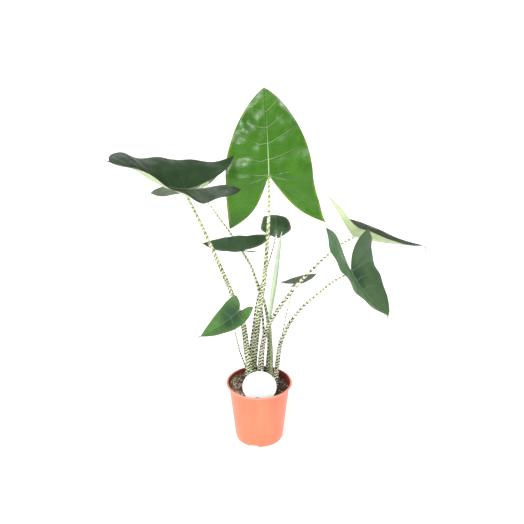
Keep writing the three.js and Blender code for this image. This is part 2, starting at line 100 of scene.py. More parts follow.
# Label: a disc on a flat stake, leaned back
disc_centre = Vector((1, -64, 199.5))
disc_lean = 6
stake_width = 16
stake_length = 50
stake_point = 8
label_sides = 96
# Half size of the soil that the label keeps free of crumbs
label_clear = (36, 6)

# Spacing of the points along a blade and along a stalk
row_spacing = 2.6
ring_spacing = 4
# Side veins of a half ahead of the joint, half the width of one, and the midrib's groove above
veins_ahead = 5.6
vein_half_width = 1.25
rib_groove = 0.5
# A blade with wider halves than this has the full rib, and the others a lower one
large_width = 55
# Width of blade that the whole leaf map covers, in metres
leaf_map_size = 0.45

# Camera, and where the lamps look, in metres
camera_place = (0.008, -2.0, 1.356)
camera_tilt = 68.1
camera_lens = 54.48
plant_middle = Vector((0, 0, 0.6))

# Each pair is [right half, left half], seen from the upper side with the tip ahead.
# length runs from the joint to the tip, width is that of a half, and each lobe reaches back by
# lobe and out by spread. belly and taper shape the front, and sinus the cleft between the lobes.
# heading, rise and roll turn the blade at its joint with the stalk; the other angles bend it.
# drip is the length of the narrow drip tip, and drip_width its half width per millimetre of that.
# rows and grip set how far under the blade its stalk reaches.
# stalk is its radius at the soil and at the blade, and route its middle line above the soil.
# green and marks name the colours of the upper side and of the stalk's bands.
plain_leaf = dict(
    belly=2, taper=0.8, sinus=[0.5, 0.5], arch=0, curl=0, curl_from=0.75, back=0, sway=0,
    twist=0, twist_back=0, fold_mid=[0, 0], cup=[0, 0], cup_back=[0, 0],
    wave=2, waves=2.5, phase=[0, 1.5], drip=6, drip_width=0.3, rows=8, marks="olive",
    green="dark",
)

leaf_forms = [
    dict(
        name="top", joint=[26, 20, 789], heading=96, rise=75, roll=2,
        length=232, width=116, belly=1.8, taper=0.79, lobe=[130, 139], spread=[154, 108],
        sinus=[0.6, 0.5], arch=-4, sway=-3, fold=[8, 8], fold_tip=[5, 5], fold_back=[-8, -4],
        wave=3, drip=4, rows=11, green="bright",
        stalk=[12, 3.4], grip=10,
        route=[[-20, 20, 168], [-18, 20, 213], [-12, 21, 281], [-3, 20, 367], [5, 20, 429],
               [14, 22, 489], [20, 26, 562], [25, 31, 640], [27, 33, 720]],
    ),
    dict(
        name="left", joint=[-179, -125, 795], heading=207, rise=9, roll=16,
        length=223, width=112, belly=3.06, taper=0.5, lobe=[163, 120], spread=[75, 97],
        sinus=[0.55, 0.02], arch=63, curl=-54, curl_from=0.45, back=-48, sway=6, twist=-2,
        twist_back=-13, fold=[29, 12], fold_tip=[4, 17], fold_mid=[-3, 3], fold_back=[5, 19],
        cup=[-28, 7], cup_back=[9, -27], wave=-4.7, waves=1.98, phase=[1.64, 1.5],
        drip=9, rows=12, stalk=[11, 3.4], grip=9,
        route=[[-26, -8, 168], [-27, -8, 225], [-35, -10, 288], [-44, -16, 369],
               [-65, -28, 442], [-88, -48, 519], [-118, -74, 610], [-149, -104, 703]],
    ),
    dict(
        name="right", joint=[260, 60, 605], heading=14, rise=-19, roll=-1,
        length=252, width=48, belly=1.98, taper=0.83, lobe=[114, 42], spread=[92, 42],
        sinus=[0.95, 0.8], arch=15, curl=-109, curl_from=0.83, back=-1, sway=-1, twist=-5,
        twist_back=14, fold=[53, 49], fold_tip=[12, -4], fold_back=[80, 82], cup=[-16, 3],
        cup_back=[4, -30], wave=1, drip=32, drip_width=0.09, rows=13, marks="brown", green="dusk",
        stalk=[10, 2.7], grip=8,
        route=[[3, -4, 168], [4, -4, 236], [9, -4, 291], [18, -3, 338], [34, -1, 377],
               [74, 10, 437], [113, 22, 483], [169, 38, 537], [222, 50, 582]],
    ),
    dict(
        name="hanging", joint=[244, -60, 551], heading=-37, rise=-57, roll=4,
        length=166, width=94, belly=2.04, taper=0.73, lobe=[139, 108], spread=[74, 75],
        sinus=[0.21, 0.77], arch=32, curl=-86, curl_from=0.85, back=-29, sway=-8,
        twist_back=-23, fold=[26, 18], fold_tip=[25, 16], fold_back=[30, 37], cup=[-8, -11],
        cup_back=[-14, 2], wave=2.7, phase=[0, 2.5], drip=12, rows=10, green="hanging",
        marks="brown", stalk=[8.5, 2.6], grip=8,
        route=[[48, 8, 168], [48, 8, 186], [53, 7, 240], [59, 4, 293], [69, 0, 330],
               [86, -6, 371], [118, -18, 423], [160, -34, 473], [205, -48, 519]],
    ),
    dict(
        name="low", joint=[-55, -90, 445], heading=183, rise=-42, roll=34,
        length=141, width=48, belly=1.85, taper=0.86, lobe=[29, 52], spread=[36, 33],
        arch=7, back=-19, sway=14, twist=-12, fold=[9, 11], fold_tip=[8, 21],
        fold_back=[33, 14], wave=1, drip=14, drip_width=0.15, green="mid", marks="brown",
        stalk=[2.6, 1.8], grip=5,
        route=[[-38, 6, 168], [-38, 6, 218], [-45, 0, 246], [-50, -6, 265], [-55, -14, 286],
               [-59, -22, 310], [-63, -30, 336], [-66, -54, 366], [-62, -78, 410]],
    ),
    dict(
        name="middle", joint=[-46, 92, 550], heading=183, rise=2, roll=1,
        length=121, width=62, lobe=[85, 62], spread=[51, 39], arch=19, back=-5, sway=3,
        fold=[22, 19], fold_tip=[15, 8], fold_back=[37, 19], wave=1, green="forest",
        marks="brown",
        stalk=[5, 2.2], grip=6,
        route=[[10, 38, 168], [10, 38, 222], [13, 40, 293], [10, 46, 362], [2, 56, 422],
               [-10, 68, 466], [-28, 82, 512]],
    ),
    dict(
        name="far", joint=[49, 170, 588], heading=90, rise=66, roll=-4,
        length=145, width=45, belly=1.44, taper=0.88, lobe=[29, 25], spread=[4, 5],
        sinus=[0, 0], arch=-187, back=4, sway=-10, twist=-9, fold=[-3, -4],
        fold_tip=[-15, -5], fold_back=[-9, -11], cup=[-11, -13], cup_back=[-10, -16],
        wave=1, drip=10, rows=10, green="forest", marks="brown", stalk=[4, 1.8], grip=8,
        route=[[-31, 50, 168], [-30, 50, 206], [-26, 56, 259], [-18, 72, 316], [-7, 98, 387],
               [10, 124, 446], [30, 155, 497], [45, 182, 545]],
    ),
    dict(
        name="back", joint=[-175, 230, 692], heading=162, rise=-13, roll=7,
        length=172, width=61, lobe=[52, 62], spread=[38, 56], arch=9, curl=-40, curl_from=0.8,
        back=-9, fold=[13, 15], fold_tip=[10, -7], fold_back=[20, 34], wave=1, drip=10,
        green="dull", stalk=[6, 2.2], grip=6,
        route=[[25, 31, 168], [25, 33, 228], [28, 40, 281], [24, 50, 355], [11, 66, 416],
               [-8, 88, 459], [-26, 114, 498], [-79, 164, 569], [-126, 198, 624]],
    ),
    dict(
        name="small", joint=[104, 130, 431], heading=23, rise=11, roll=-2,
        length=76, width=23, lobe=[21, 35], spread=[22, 25], sinus=[0.5, 0.7], arch=10,
        back=1, fold=[15, 22], fold_tip=[5, 20], fold_back=[16, 18], wave=0.6, drip=3,
        green="dull", stalk=[2.2, 1.4], grip=4, marks="brown",
        route=[[50, 35, 168], [50, 35, 201], [55, 37, 238], [60, 41, 268], [66, 48, 297],
               [71, 58, 325], [76, 70, 347], [82, 84, 372], [89, 97, 396], [96, 110, 412]],
    ),
]
leaves = [{**plain_leaf, **form} for form in leaf_forms]

# The new leaf: a rolled blade on a plain stalk
new_leaf_stalk_radius = [5.6, 5]
new_leaf_stalk_route = [[35, 16, 168], [35, 17, 211], [35, 21, 252], [33, 27, 294], [30, 32, 340]]
new_leaf_route = [[29, 33, 372], [33, 34, 400], [37, 37, 434], [42, 41, 466], [46, 45, 498],
                  [50, 49, 530], [54, 53, 562], [58, 57, 590], [63, 61, 618]]
new_leaf_radii = [5, 6.2, 7, 7.1, 6.8, 6, 5, 3.6, 0.9]
new_leaf_thickness = 0.7
# How often it is wound, how far it twists on the way up and where it starts, in radians
new_leaf_turns = 1.75
new_leaf_twist = 0.9
new_leaf_start = 0.2


def as_seen(red, green, blue):
    """A colour as the eye sees it, each part 0 to 255, as the linear values that shaders use."""
    def linear(part):
        part /= 255
        return part / 12.92 if part <= 0.04045 else ((part + 0.055) / 1.055) ** 2.4
    return linear(red), linear(green), linear(blue)


def measure(name, description, default):
    return FloatProperty(
        name=name, description=description, default=default, min=0, subtype="DISTANCE",
        unit="LENGTH", precision=4)


def tint(name, description, seen):
    return FloatVectorProperty(
        name=name, description=description, default=as_seen(*seen), min=0, max=1, size=3,
        subtype="COLOR")


class AlocasiaSizes(PropertyGroup):
    """Sizes that a user may change"""
    pot_rim_radius: measure(
        "Pot rim radius", "Outer radius of the rolled lip", (pot_high.x - pot_low.x) / 2)
    pot_height: measure("Pot height", "Height of the pot from the floor to its lip", pot_high.z)
    pot_wall: measure("Pot wall", "Thickness of the moulded wall", 0.002)
    label_diameter: measure("Label diameter", "Diameter of the round label", 0.095)
    label_thickness: measure("Label thickness", "Thickness of the label", 0.0012)
    blade_thickness: measure("Blade thickness", "Thickness of a blade at its middle", 0.0011)
    drip_thickness: measure("Drip tip thickness", "Added thickness of the rolled drip tip", 0.0014)
    rib_depth: measure("Rib depth", "How far the midrib stands out below a large blade", 0.003)
    quilting: measure("Quilting", "How far a blade swells up between its side veins", 0.0011)
    undulation: measure("Undulation", "How far a whole blade swells and sinks", 0.0022)
    band_gap: measure("Band gap", "Distance from one stalk band to the next", 0.0096)
    crumb_size: measure("Crumb size", "Mean radius of the crumbs on the soil", 0.0017)
    crumbs: IntProperty(
        name="Crumbs", description="How many crumbs lie on the soil", default=1700, min=0)


class AlocasiaColours(PropertyGroup):
    """Colours that a user may change"""
    pot: tint("Pot", "Terracotta-coloured plastic", (236, 117, 83))
    # Painted highlight: the top of the lip is coloured paler for the light on it
    pot_lip_highlight: tint("Pot lip", "Lip painted paler as a highlight", (226, 150, 132))
    # Painted shade: the inner wall is coloured dark red-brown for the shade inside the pot
    pot_inside_shade: tint("Pot inside", "Inner wall painted dark as shade", (106, 30, 24))
    soil: tint("Soil", "Damp peat", (72, 56, 45))
    crumb: tint("Soil bits", "Dry crumbs and fibres on the peat", (196, 166, 142))
    label: tint("Label", "Plain label plastic", (240, 250, 250))
    bright: tint("Bright green", "Upper side of the youngest open leaf", (54, 106, 13))
    dark: tint("Dark green", "Upper side of the oldest leaves", (38, 64, 34))
    forest: tint("Forest green", "Upper side of the middle and far leaf", (63, 97, 60))
    mid: tint("Mid green", "Upper side of the low leaf", (74, 118, 58))
    middle: tint("Middle", "Bluish middle of the mid green leaves", (40, 66, 50))
    hanging: tint("Hanging leaf", "Its half that lies in shade", (66, 96, 60))
    hanging_lit: tint("Hanging leaf, lit half", "Its other half", (80, 122, 74))
    # Painted sheen: this green is greyed for the reflection of the bright surroundings
    dull: tint("Grey sheen green", "Upper side of the dusty old leaves", (96, 114, 92))
    # Painted sheen: the right leaf's green is greyed for the haze reflected on it
    dusk: tint("Dusky green", "Upper side of the right leaf", (68, 80, 64))
    # Painted sheen: the grey of the old leaves' margins stands for reflected light
    rim_sheen: tint("Rim sheen", "Grey margins of the old leaves", (150, 150, 146))
    under: tint("Underside", "Lower side of every blade", (178, 196, 148))
    vein: tint("Vein", "Midrib and side veins", (172, 202, 150))
    edge: tint("Edge", "Thin margin of a blade", (112, 86, 66))
    yellowing: tint("Yellowing", "Where a bright blade turns yellow", (150, 168, 34))
    stalk: tint("Stalk", "Ground colour of the left stalks", (222, 227, 192))
    stalk_grey: tint("Greyer stalk", "Ground of the right stalks", (224, 223, 200))
    olive: tint("Olive bands", "Bands on the left stalks", (56, 68, 24))
    brown: tint("Brown bands", "Bands on the right stalks", (38, 30, 20))
    faded_olive: tint("Faded olive", "Upper marks on the left stalks", (142, 158, 94))
    faded_brown: tint("Faded brown", "Upper marks on the right stalks", (108, 98, 82))
    new_leaf: tint("New leaf", "The rolled leaf", (196, 210, 184))
    # Painted shadow: also the green of the stripe along the rolled leaf's outer edge
    new_stripe: tint("New leaf stripe", "Outer edge of the rolled leaf", (108, 148, 96))
    new_stalk: tint("New leaf stalk", "The plain stalk", (124, 138, 92))
    floor: tint("Floor", "Studio floor", (247, 247, 247))


def clamp01(t):
    return min(max(t, 0), 1)


def smooth(t):
    return clamp01(t) ** 2 * (3 - 2 * clamp01(t))


# Materials


def toned(colour, *shares, more=0):
    """A colour with all its parts taken by one share, or each part by its own"""
    return [min(1, part * share + more) for part, share in zip(colour, shares * 3)]


class Value:
    """What a node gives out. Sums and products of such values are written as plain sums."""

    def __init__(self, nodes, socket):
        self.nodes = nodes
        self.socket = socket

    def __add__(self, other):
        return self.nodes.calc("ADD", self, other)

    def __sub__(self, other):
        return self.nodes.calc("SUBTRACT", self, other)

    def __mul__(self, other):
        return self.nodes.calc("MULTIPLY", self, other)

    def __truediv__(self, other):
        return self.nodes.calc("DIVIDE", self, other)


class Nodes:
    """A node tree, with short ways to add its nodes"""

    def __init__(self, tree):
        self.tree = tree

    def fill(self, node, inputs):
        """Links or sets the named sockets of a node. None leaves a socket as it is."""
        for name, source in inputs.items():
            socket = node.inputs[name]
            if isinstance(source, Value):
                self.tree.links.new(source.socket, socket)
            elif source is not None:
                socket.default_value = (*source, 1) if socket.type == "RGBA" else source

    def node(self, kind, inputs, output=0, **settings):
        made = self.tree.nodes.new(kind)
        for name, value in settings.items():
            setattr(made, name, value)
        self.fill(made, inputs)
        return Value(self, made.outputs[output])

    def place(self, output="Object"):
        return self.node("ShaderNodeTexCoord", {}, output)

    def attribute(self, name):
        return self.node("ShaderNodeAttribute", {}, "Vector", attribute_name=name)

    def parts(self, vector):
        first = self.node("ShaderNodeSeparateXYZ", {0: vector})
        return [Value(self, socket) for socket in first.socket.node.outputs]

    def calc(self, operation, *terms):
        return self.node("ShaderNodeMath", dict(enumerate(terms)), operation=operation)

    def reach(self, first, second):
        """The length of a flat vector"""
        return self.calc("SQRT", first * first + second * second)

    def step(self, value, start, end, low=0, high=1):
        """Runs smoothly from low to high as the value goes from start to end."""
        return self.node("ShaderNodeMapRange", dict(enumerate((value, start, end, low, high))),
                         interpolation_type="SMOOTHSTEP")

    def stretched(self, vector, scale):
        """Three scales stretch a pattern along the axes, and one is the pattern's own."""
        if isinstance(scale, tuple):
            return self.node("ShaderNodeMapping", dict(Vector=vector, Scale=scale)), 1
        return vector, scale

    def noise(self, vector, scale, detail=3, roughness=0.55, distortion=0):
        vector, scale = self.stretched(vector, scale)
        return self.node("ShaderNodeTexNoise", dict(
            Vector=vector, Scale=scale, Detail=detail, Roughness=roughness,
            Distortion=distortion))

    def cells(self, vector, scale, feature="F1"):
        vector, scale = self.stretched(vector, scale)
        return self.node("ShaderNodeTexVoronoi", dict(Vector=vector, Scale=scale), "Distance",
                         feature=feature)

    def blend(self, share, first, second):
        return self.node("ShaderNodeMix", {0: share, 6: first, 7: second}, 2, data_type="RGBA")

    def bump(self, height, distance, strength=1, under=None):
        return self.node("ShaderNodeBump", dict(
            Strength=strength, Distance=distance, Height=height, Normal=under))


class Finish(Nodes):
    """The nodes of one material"""

    def __init__(self, name, roughness, specular=0.5, glow=0):
        self.material = bpy.data.materials.new(name)
        self.material.use_nodes = True
        super().__init__(self.material.node_tree)
        self.shader = self.tree.nodes["Principled BSDF"]
        self.fill(self.shader, {
            "Roughness": roughness, "Specular IOR Level": specular,
            "Emission Color": (1, 1, 1), "Emission Strength": glow})

    def done(self, colour, roughness=None, normal=None):
        self.fill(self.shader, {"Base Color": colour, "Roughness": roughness, "Normal": normal})
        return self.material


class BladeFinish(Finish):
    """The nodes of a blade: each point's place on the flat blade, and its veins from 0 to 1"""

    def __init__(self, name, roughness, specular):
        super().__init__(name, roughness, specular)
        self.across, self.along, self.margin = self.parts(self.attribute("flat"))
        number, gap, width = self.parts(self.attribute("vein"))
        self.off_vein = self.calc("PINGPONG", number, 0.5) * gap
        ends = self.step(self.margin, 0.002, 0.03)
        self.side = self.step(self.off_vein / width, 0.25, 1, 1, 0) * ends
        fine_lines = 7
        off_fine = self.calc("PINGPONG", number * fine_lines, 0.5) * (gap / fine_lines)
        self.fine = self.step(off_fine, 0, 0.0009, 1, 0)
        rib_width = width * self.step(self.along, 0, 0.2, 1.7, 0.5)
        rib = self.step(self.calc("ABSOLUTE", self.across) / rib_width, 0.5, 1.1, 1, 0)
        self.rib = rib * self.calc("GREATER_THAN", self.along, -0.0005)


def pot_plastic(name, tone, lip=None):
    """Thin moulded plastic: faint flow streaks, fine grain and a few rubbed spots.
    A lip (tone, height) is painted paler from that height up, as a highlight."""
    f = Finish(name, 0.42)
    place = f.place()
    height = f.parts(place)[2]
    streaks = f.noise(place, (38, 38, 5), 4)
    cloud = f.noise(place, 14, 2)
    colour = f.blend(f.step(streaks, 0.35, 0.7), tone, toned(tone, 1.1, more=0.01))
    colour = f.blend(f.step(cloud, 0.5, 0.75, 0, 0.6), colour, toned(tone, 0.92))
    # Painted highlight: paler from the lip's height up
    if lip:
        colour = f.blend(f.step(height, lip[1], lip[1] + 0.001, 0, 0.75), colour, lip[0])
    grain = f.noise(place, 900, 2)
    rubbed = f.step(f.noise(place, (60, 60, 160), 5, 0.7), 0.6, 0.75)
    roughness = f.step(rubbed + grain * 0.3, 0, 1.2, 0.36, 0.62)
    rings = f.calc("SINE", height * 1400)
    return f.done(colour, roughness, f.bump(rings * 0.25 + grain, 0.0001, 0.6))


def peat(tone, fibre):
    """Damp peat: dark crumbs with paler fibres, paler towards the left"""
    f = Finish("Peat", 0.92, 0.3)
    place = f.place()
    clods = f.noise(place, 300, 5, 0.7)
    grit = f.cells(place, 420)
    fibres = f.noise(place, (900, 140, 300), 3, 0.6, 1.5)
    # Lighter towards the left and darker towards the right
    paleness = clods + f.step(f.parts(place)[0], -0.06, 0.05, 0.03, -0.05)
    colour = f.blend(f.step(paleness, 0.38, 0.62), toned(tone, 0.3), toned(tone, 2.8))
    colour = f.blend(f.step(fibres, 0.64, 0.72), colour, fibre)
    relief = f.bump(clods + grit * 0.5, 0.002, 0.9)
    return f.done(colour, f.step(clods, 0.3, 0.7, 0.7, 0.98), relief)


def crumb_finish(name, tone):
    """Rough crumbs, each darker or paler than the next"""
    f = Finish(name, 0.9, 0.3)
    place = f.place()
    cloud = f.noise(place, 260, 4, 0.7)
    colour = f.blend(f.step(cloud, 0.35, 0.68), toned(tone, 0.35), toned(tone, 1.9, more=0.01))
    grain = f.noise(place, 1500, 2)
    return f.done(colour, f.step(cloud, 0.3, 0.7, 0.75, 0.98), f.bump(grain, 0.0006, 0.8))


def label_plastic(tone):
    """White sheet plastic with a faint glow of painted light: pressed grain and slight smudges"""
    # Painted light: the label glows a little, though it is no lamp, to lift its shade
    f = Finish("Label plastic", 0.4, glow=0.1)
    place = f.place()
    smudge = f.noise(place, 55, 4, 0.65)
    colour = f.blend(f.step(smudge, 0.45, 0.8, 0, 0.7), tone, toned(tone, 0.9))
    grain = f.noise(place, 1300, 2)
    return f.done(colour, f.step(smudge, 0.3, 0.7, 0.34, 0.5), f.bump(grain, 0.00006, 0.5))


def blade_upper(name, tone, colours, sheen=0.3, veining=0.1, rough=0.32, yellowing_and_sheen=None, middle=None,
                lit_half=None):
    """The waxy upper side: pale veins, a mottled green and a thin brownish margin.
    veining is how strongly the veins show. The yellowing and sheen pair (share, tone) colours
    patches of the rim and of the far end: real yellowing on the bright blade, a grey painted
    sheen on the old ones. middle is the tone round the joint, with dark lines that fan out in it,
    and lit_half is the tone of the right half and the tip."""
    f = BladeFinish(name, 0.4, sheen)
    across, along, margin, fine = f.across, f.along, f.margin, f.fine
    place = f.place()
    cloud = f.noise(place, 26, 4)
    mottle = f.noise(place, 240, 3, 0.6)
    shade = f.noise(place, 8, 2) * 0.6 + cloud * 0.4
    deeper = toned(tone, 0.76)
    colour = f.blend(f.step(shade, 0.34, 0.66), deeper, toned(tone, 1.3, 1.16, 1.2))
    if middle:
        spot = f.reach(across, along - 0.022) + (cloud - 0.5) * 0.02
        colour = f.blend(f.step(spot, 0.01, 0.055, 0.9, 0), colour, middle)
        lines = fine * f.step(spot, 0.02, 0.05, 0.8, 0)
        colour = f.blend(lines, colour, toned(middle, 0.3))
    if lit_half:
        half = f.calc("MAXIMUM", f.step(across, -0.002, 0.008), f.step(along, 0.14, 0.16))
        colour = f.blend(half, colour, lit_half)
    colour = f.blend(f.step(mottle, 0.4, 0.75, 0, 0.3), colour, deeper)
    # Painted shade: darker in the creases along the side veins
    colour = f.blend(f.step(f.off_vein, 0, 0.007, 0.4, 0), colour, deeper)
    # Patches of the rim and far end: painted sheen on the old blades, real yellowing on the bright one
    if yellowing_and_sheen:
        ends = f.calc("MAXIMUM", f.step(along, 0.17, 0.24), f.step(margin, 0, 0.009, 0.6, 0))
        patch = f.step(f.noise(place, 17, 2), 0.42, 0.62)
        colour = f.blend(ends * patch * yellowing_and_sheen[0], colour, yellowing_and_sheen[1])
    inner = f.step(f.reach(across, f.calc("MINIMUM", along, 0)), 0.012, 0.07, 1, 0.12)
    side = f.side * inner * f.step(along, 0.05, 0.2, 1, 0.4)
    rib = f.rib * f.step(along, 0.02, 0.18, min(1, 1.8 * veining), 0.1)
    for share in (fine * (0.1 * veining), side * veining, rib):
        colour = f.blend(share, colour, colours.vein)
    colour = f.blend(f.step(margin, 0.0004, 0.0012, 0.8, 0), colour, colours.edge)
    roughness = f.step(f.noise(place, 60, 4), 0.3, 0.7, rough, rough + 0.11)
    puckers = f.cells(place, 170, "SMOOTH_F1")
    skin = f.bump(puckers + mottle * 0.2, 0.0005, 0.2)
    grooves = side * -1 + f.rib * -1.2 + fine * -0.08
    return f.done(colour, roughness, f.bump(grooves, 0.0006, 0.8, skin))


def blade_under(colours):
    """The pale, duller underside, with the veins standing out"""
    f = BladeFinish("Blade underside", 0.52, 0.3)
    place = f.place()
    cloud = f.noise(place, 30, 4)
    deeper = toned(colours.under, 0.88)
    paler = toned(colours.under, 1.1, more=0.01)
    colour = f.blend(f.step(cloud, 0.32, 0.68), deeper, paler)
    colour = f.blend(f.fine * 0.25, colour, deeper)
    colour = f.blend(f.calc("MAXIMUM", f.side, f.rib) * 0.9, colour, colours.stalk)
    colour = f.blend(f.step(f.margin, 0.0006, 0.0018, 0.7, 0), colour, colours.edge)
    skin = f.bump(f.cells(place, 300, "DISTANCE_TO_EDGE"), 0.0004, 0.3)
    relief = f.bump(f.side + f.fine * 0.3, 0.0016, 1, skin)
    return f.done(colour, f.step(cloud, 0.3, 0.7, 0.46, 0.6), relief)


def banded_stalk(name, marks, ground, faded, band_gap):
    """Broken zigzag bands on a pale ground, close at the foot and thinning into dots above"""
    f = Finish(name, 0.45, 0.4)
    straight = f.attribute("straight")
    x, y, along = f.parts(straight)
    height, radius, _ = f.parts(f.attribute("climb"))
    thick = f.step(radius, 0.002, 0.007)
    strip = f.calc("ARCTAN2", y, x) * (3 / math.pi)
    stagger = f.calc("FRACT", f.calc("FLOOR", strip) * 0.37)
    zigzag = (stagger * 0.7 + f.calc("PINGPONG", strip, 1)) * (thick * 0.6)
    drift = f.noise(straight, 45, 3, 0.6) * f.step(thick, 0, 1, 1.2, 2.4)
    phase = drift + (along * f.step(thick, 0, 1, 0.88 / band_gap, 1 / band_gap) + zigzag)
    breaks = f.noise(straight, (130, 130, 90), 2, 0.5)
    broken = (breaks - 0.5) * f.step(thick, 0, 0.6, 0.6, 2.4)
    wave = f.calc("SINE", phase * math.tau) + broken
    band = f.step(wave - f.step(height, 0.2, 1, -0.1, 0.7), -0.12, 0.12)
    clear = f.step(wave - f.step(height, 0, 0.6, -0.35, 0.6), -0.2, 0.2, 1, 0)
    specks = f.step(f.cells(straight, (270, 270, 170)), 0.2, 0.36, 0.75, 0)
    specks = specks * (thick * f.step(height, 0.2, 0.7))
    green = toned(ground, 0.34, 0.5, 0.22)
    base = f.blend(clear, green, ground)
    base = f.blend(f.step(f.noise(straight, 160), 0.45, 0.7, 0, 0.5), base, green)
    inked = f.blend(f.step(breaks, 0.3, 0.7), marks, toned(marks, 0.5))
    inked = f.blend(f.step(height, 0.45, 1, 0, 0.8), inked, faded)
    colour = f.blend(f.calc("MAXIMUM", band, specks), base, inked)
    fibres = f.noise(straight, (900, 900, 40), 2)
    relief = f.bump(fibres + band * -0.4, 0.0003, 0.6)
    return f.done(colour, f.step(band, 0, 1, 0.42, 0.55), relief)


def plain_stalk(tone, speck):
    """The new leaf's stalk: plain grey-green with fine lengthwise fibres and faint specks"""
    f = Finish("New leaf stalk", 0.45, 0.4)
    straight = f.attribute("straight")
    fibres = f.noise(straight, (500, 500, 60))
    specks = f.noise(straight, (260, 260, 200), 3, 0.65)
    colour = f.blend(f.step(fibres, 0.35, 0.65), toned(tone, 0.7), toned(tone, 1.35))
    colour = f.blend(f.step(specks, 0.5, 0.6, 0, 0.55), colour, speck)
    return f.done(colour, f.step(fibres, 0.3, 0.7, 0.4, 0.55), f.bump(fibres, 0.0003, 0.6))


def rolled_blade(tone, stripe):
    """The rolled leaf: waxy and pale, with a painted shadow of darker green along its outer edge"""
    f = Finish("New leaf", 0.4, 0.5)
    wound, climb, _ = f.parts(f.attribute("scroll"))
    veins = f.step(f.calc("PINGPONG", climb * 26 + wound * 9, 0.5), 0, 0.12, 1, 0)
    cloud = f.noise(f.attribute("straight"), 45, 4)
    colour = f.blend(f.step(cloud, 0.35, 0.7), tone, toned(tone, 0.88, 0.95, 0.84))
    colour = f.blend(veins * 0.3, colour, stripe)
    # Painted shadow: darker green along the outer edge, where it lies over the turn below
    colour = f.blend(f.step(wound, 0.86, 0.93, 0, 0.5), colour, stripe)
    relief = f.bump(cloud + veins * 0.6, 0.0004, 0.5)
    return f.done(colour, f.step(cloud, 0.3, 0.7, 0.34, 0.5), relief)


def floor_finish(tone):
    """Matt studio paper with a barely seen grain"""
    f = Finish("Studio paper", 0.9, 0.1, glow=0.45)
    grain = f.noise(f.place(), 300, 2)
    return f.done(f.blend(grain, tone, toned(tone, 0.99)))


# Shared ways to make a piece


def add_object(bm, name, finishes=()):
    """Turns a bmesh into an object of the scene."""
    mesh = bpy.data.meshes.new(name)
    bm.to_mesh(mesh)
    bm.free()
    for finish in finishes:
        mesh.materials.append(finish)
    made = bpy.data.objects.new(name, mesh)
    bpy.context.scene.collection.objects.link(made)
    return made


def shade(piece, sharp):
    """Shades a piece smooth, apart from its edges over an angle in degrees."""
    piece.data.shade_smooth()
    piece.data.set_sharp_from_angle(angle=math.radians(sharp))


def add_piece(bm, name, slot, finishes, *nodes, sharp=40):
    """Adds a piece that rides on the root and stands for the named nodes."""
    if len(bm.faces) == 0:
        raise RuntimeError(f"{name} has no faces")
    piece = add_object(bm, name, finishes)
    shade(piece, sharp)
    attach(piece, "root")
    if nodes:
        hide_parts(*nodes)
    return piece


def arc(middle, wide, high, turns):
    """Points on an arc about its middle, at turns in degrees"""
    return [(middle[0] + wide * math.cos(math.radians(turn)),
             middle[1] + high * math.sin(math.radians(turn))) for turn in turns]


def closed(bm):
    """Welds what meets and turns all faces outwards."""
    bmesh.ops.remove_doubles(bm, verts=bm.verts, dist=weld)
    bmesh.ops.recalc_face_normals(bm, faces=bm.faces)
    return bm


def point_layers(bm, *names):
    return [bm.verts.layers.float_vector.new(name) for name in names]


def grid_points(bm, columns, rows):
    """The points of a new grid, each with its share of the way across and its row"""
    made = bmesh.ops.create_grid(bm, x_segments=columns, y_segments=rows, size=0.5)["verts"]
    return [(vert, vert.co.x + 0.5, round((vert.co.y + 0.5) * rows)) for vert in made]


def spun(profile, sides):
    """A profile of (radius, height) turned once about the upright axis, in metres"""
    bm = bmesh.new()
    verts = [bm.verts.new((r * MM, 0, z * MM)) for r, z in profile]
    edges = [bm.edges.new(pair) for pair in zip(verts, verts[1:])]
    bmesh.ops.spin(
        bm, geom=verts + edges, cent=(0, 0, 0), axis=(0, 0, 1), angle=math.tau, steps=sides,
        use_merge=True)
    return closed(bm)


def new_verts(drawn):
    """The points that an extrusion has drawn out"""
    return [part for part in drawn["geom"] if isinstance(part, bmesh.types.BMVert)]


class Route:
    """A smooth line through points, as evenly spaced places with a direction each"""

    def __init__(self, points, steps_per_span=24):
        points = [Vector(p) for p in points]
        line = [2 * points[0] - points[1], *points, 2 * points[-1] - points[-2]]
        self.fine = [points[0]]
        for p0, p1, p2, p3 in zip(line, line[1:], line[2:], line[3:]):
            d0, d1, d2 = [math.sqrt((b - a).length) for a, b in ((p0, p1), (p1, p2), (p2, p3))]
            start = d1 * ((p1 - p0) / d0 - (p2 - p0) / (d0 + d1) + (p2 - p1) / d1)
            end = d1 * ((p2 - p1) / d1 - (p3 - p1) / (d1 + d2) + (p3 - p2) / d2)
            span = interpolate_bezier(p1, p1 + start / 3, p2 - end / 3, p2, steps_per_span)
            self.fine.extend(span[1:])
        self.reached = [0]
        for a, b in zip(self.fine, self.fine[1:]):
            self.reached.append(self.reached[-1] + (b - a).length)
        self.length = self.reached[-1]

    def at(self, share):
        """The place at a share of the length"""
        wanted = clamp01(share) * self.length
        high = min(bisect_right(self.reached, wanted), len(self.reached) - 1)
        low = high - 1
        part = (wanted - self.reached[low]) / (self.reached[high] - self.reached[low])
        return self.fine[low].lerp(self.fine[high], part)

    def direction(self, share):
        return (self.at(share + 0.004) - self.at(share - 0.004)).normalized()

    def frames(self, steps):
        """(share, place, side, other side, direction) along the line, turning as little as it can"""
        made = []
        ahead = self.direction(0)
        side = ahead.orthogonal().normalized()
        for i in range(steps + 1):
            share = i / steps
            turned = self.direction(share)
            side = (ahead.rotation_difference(turned) @ side).normalized()
            ahead = turned
            made.append((share, self.at(share), side, ahead.cross(side), ahead))
        return made


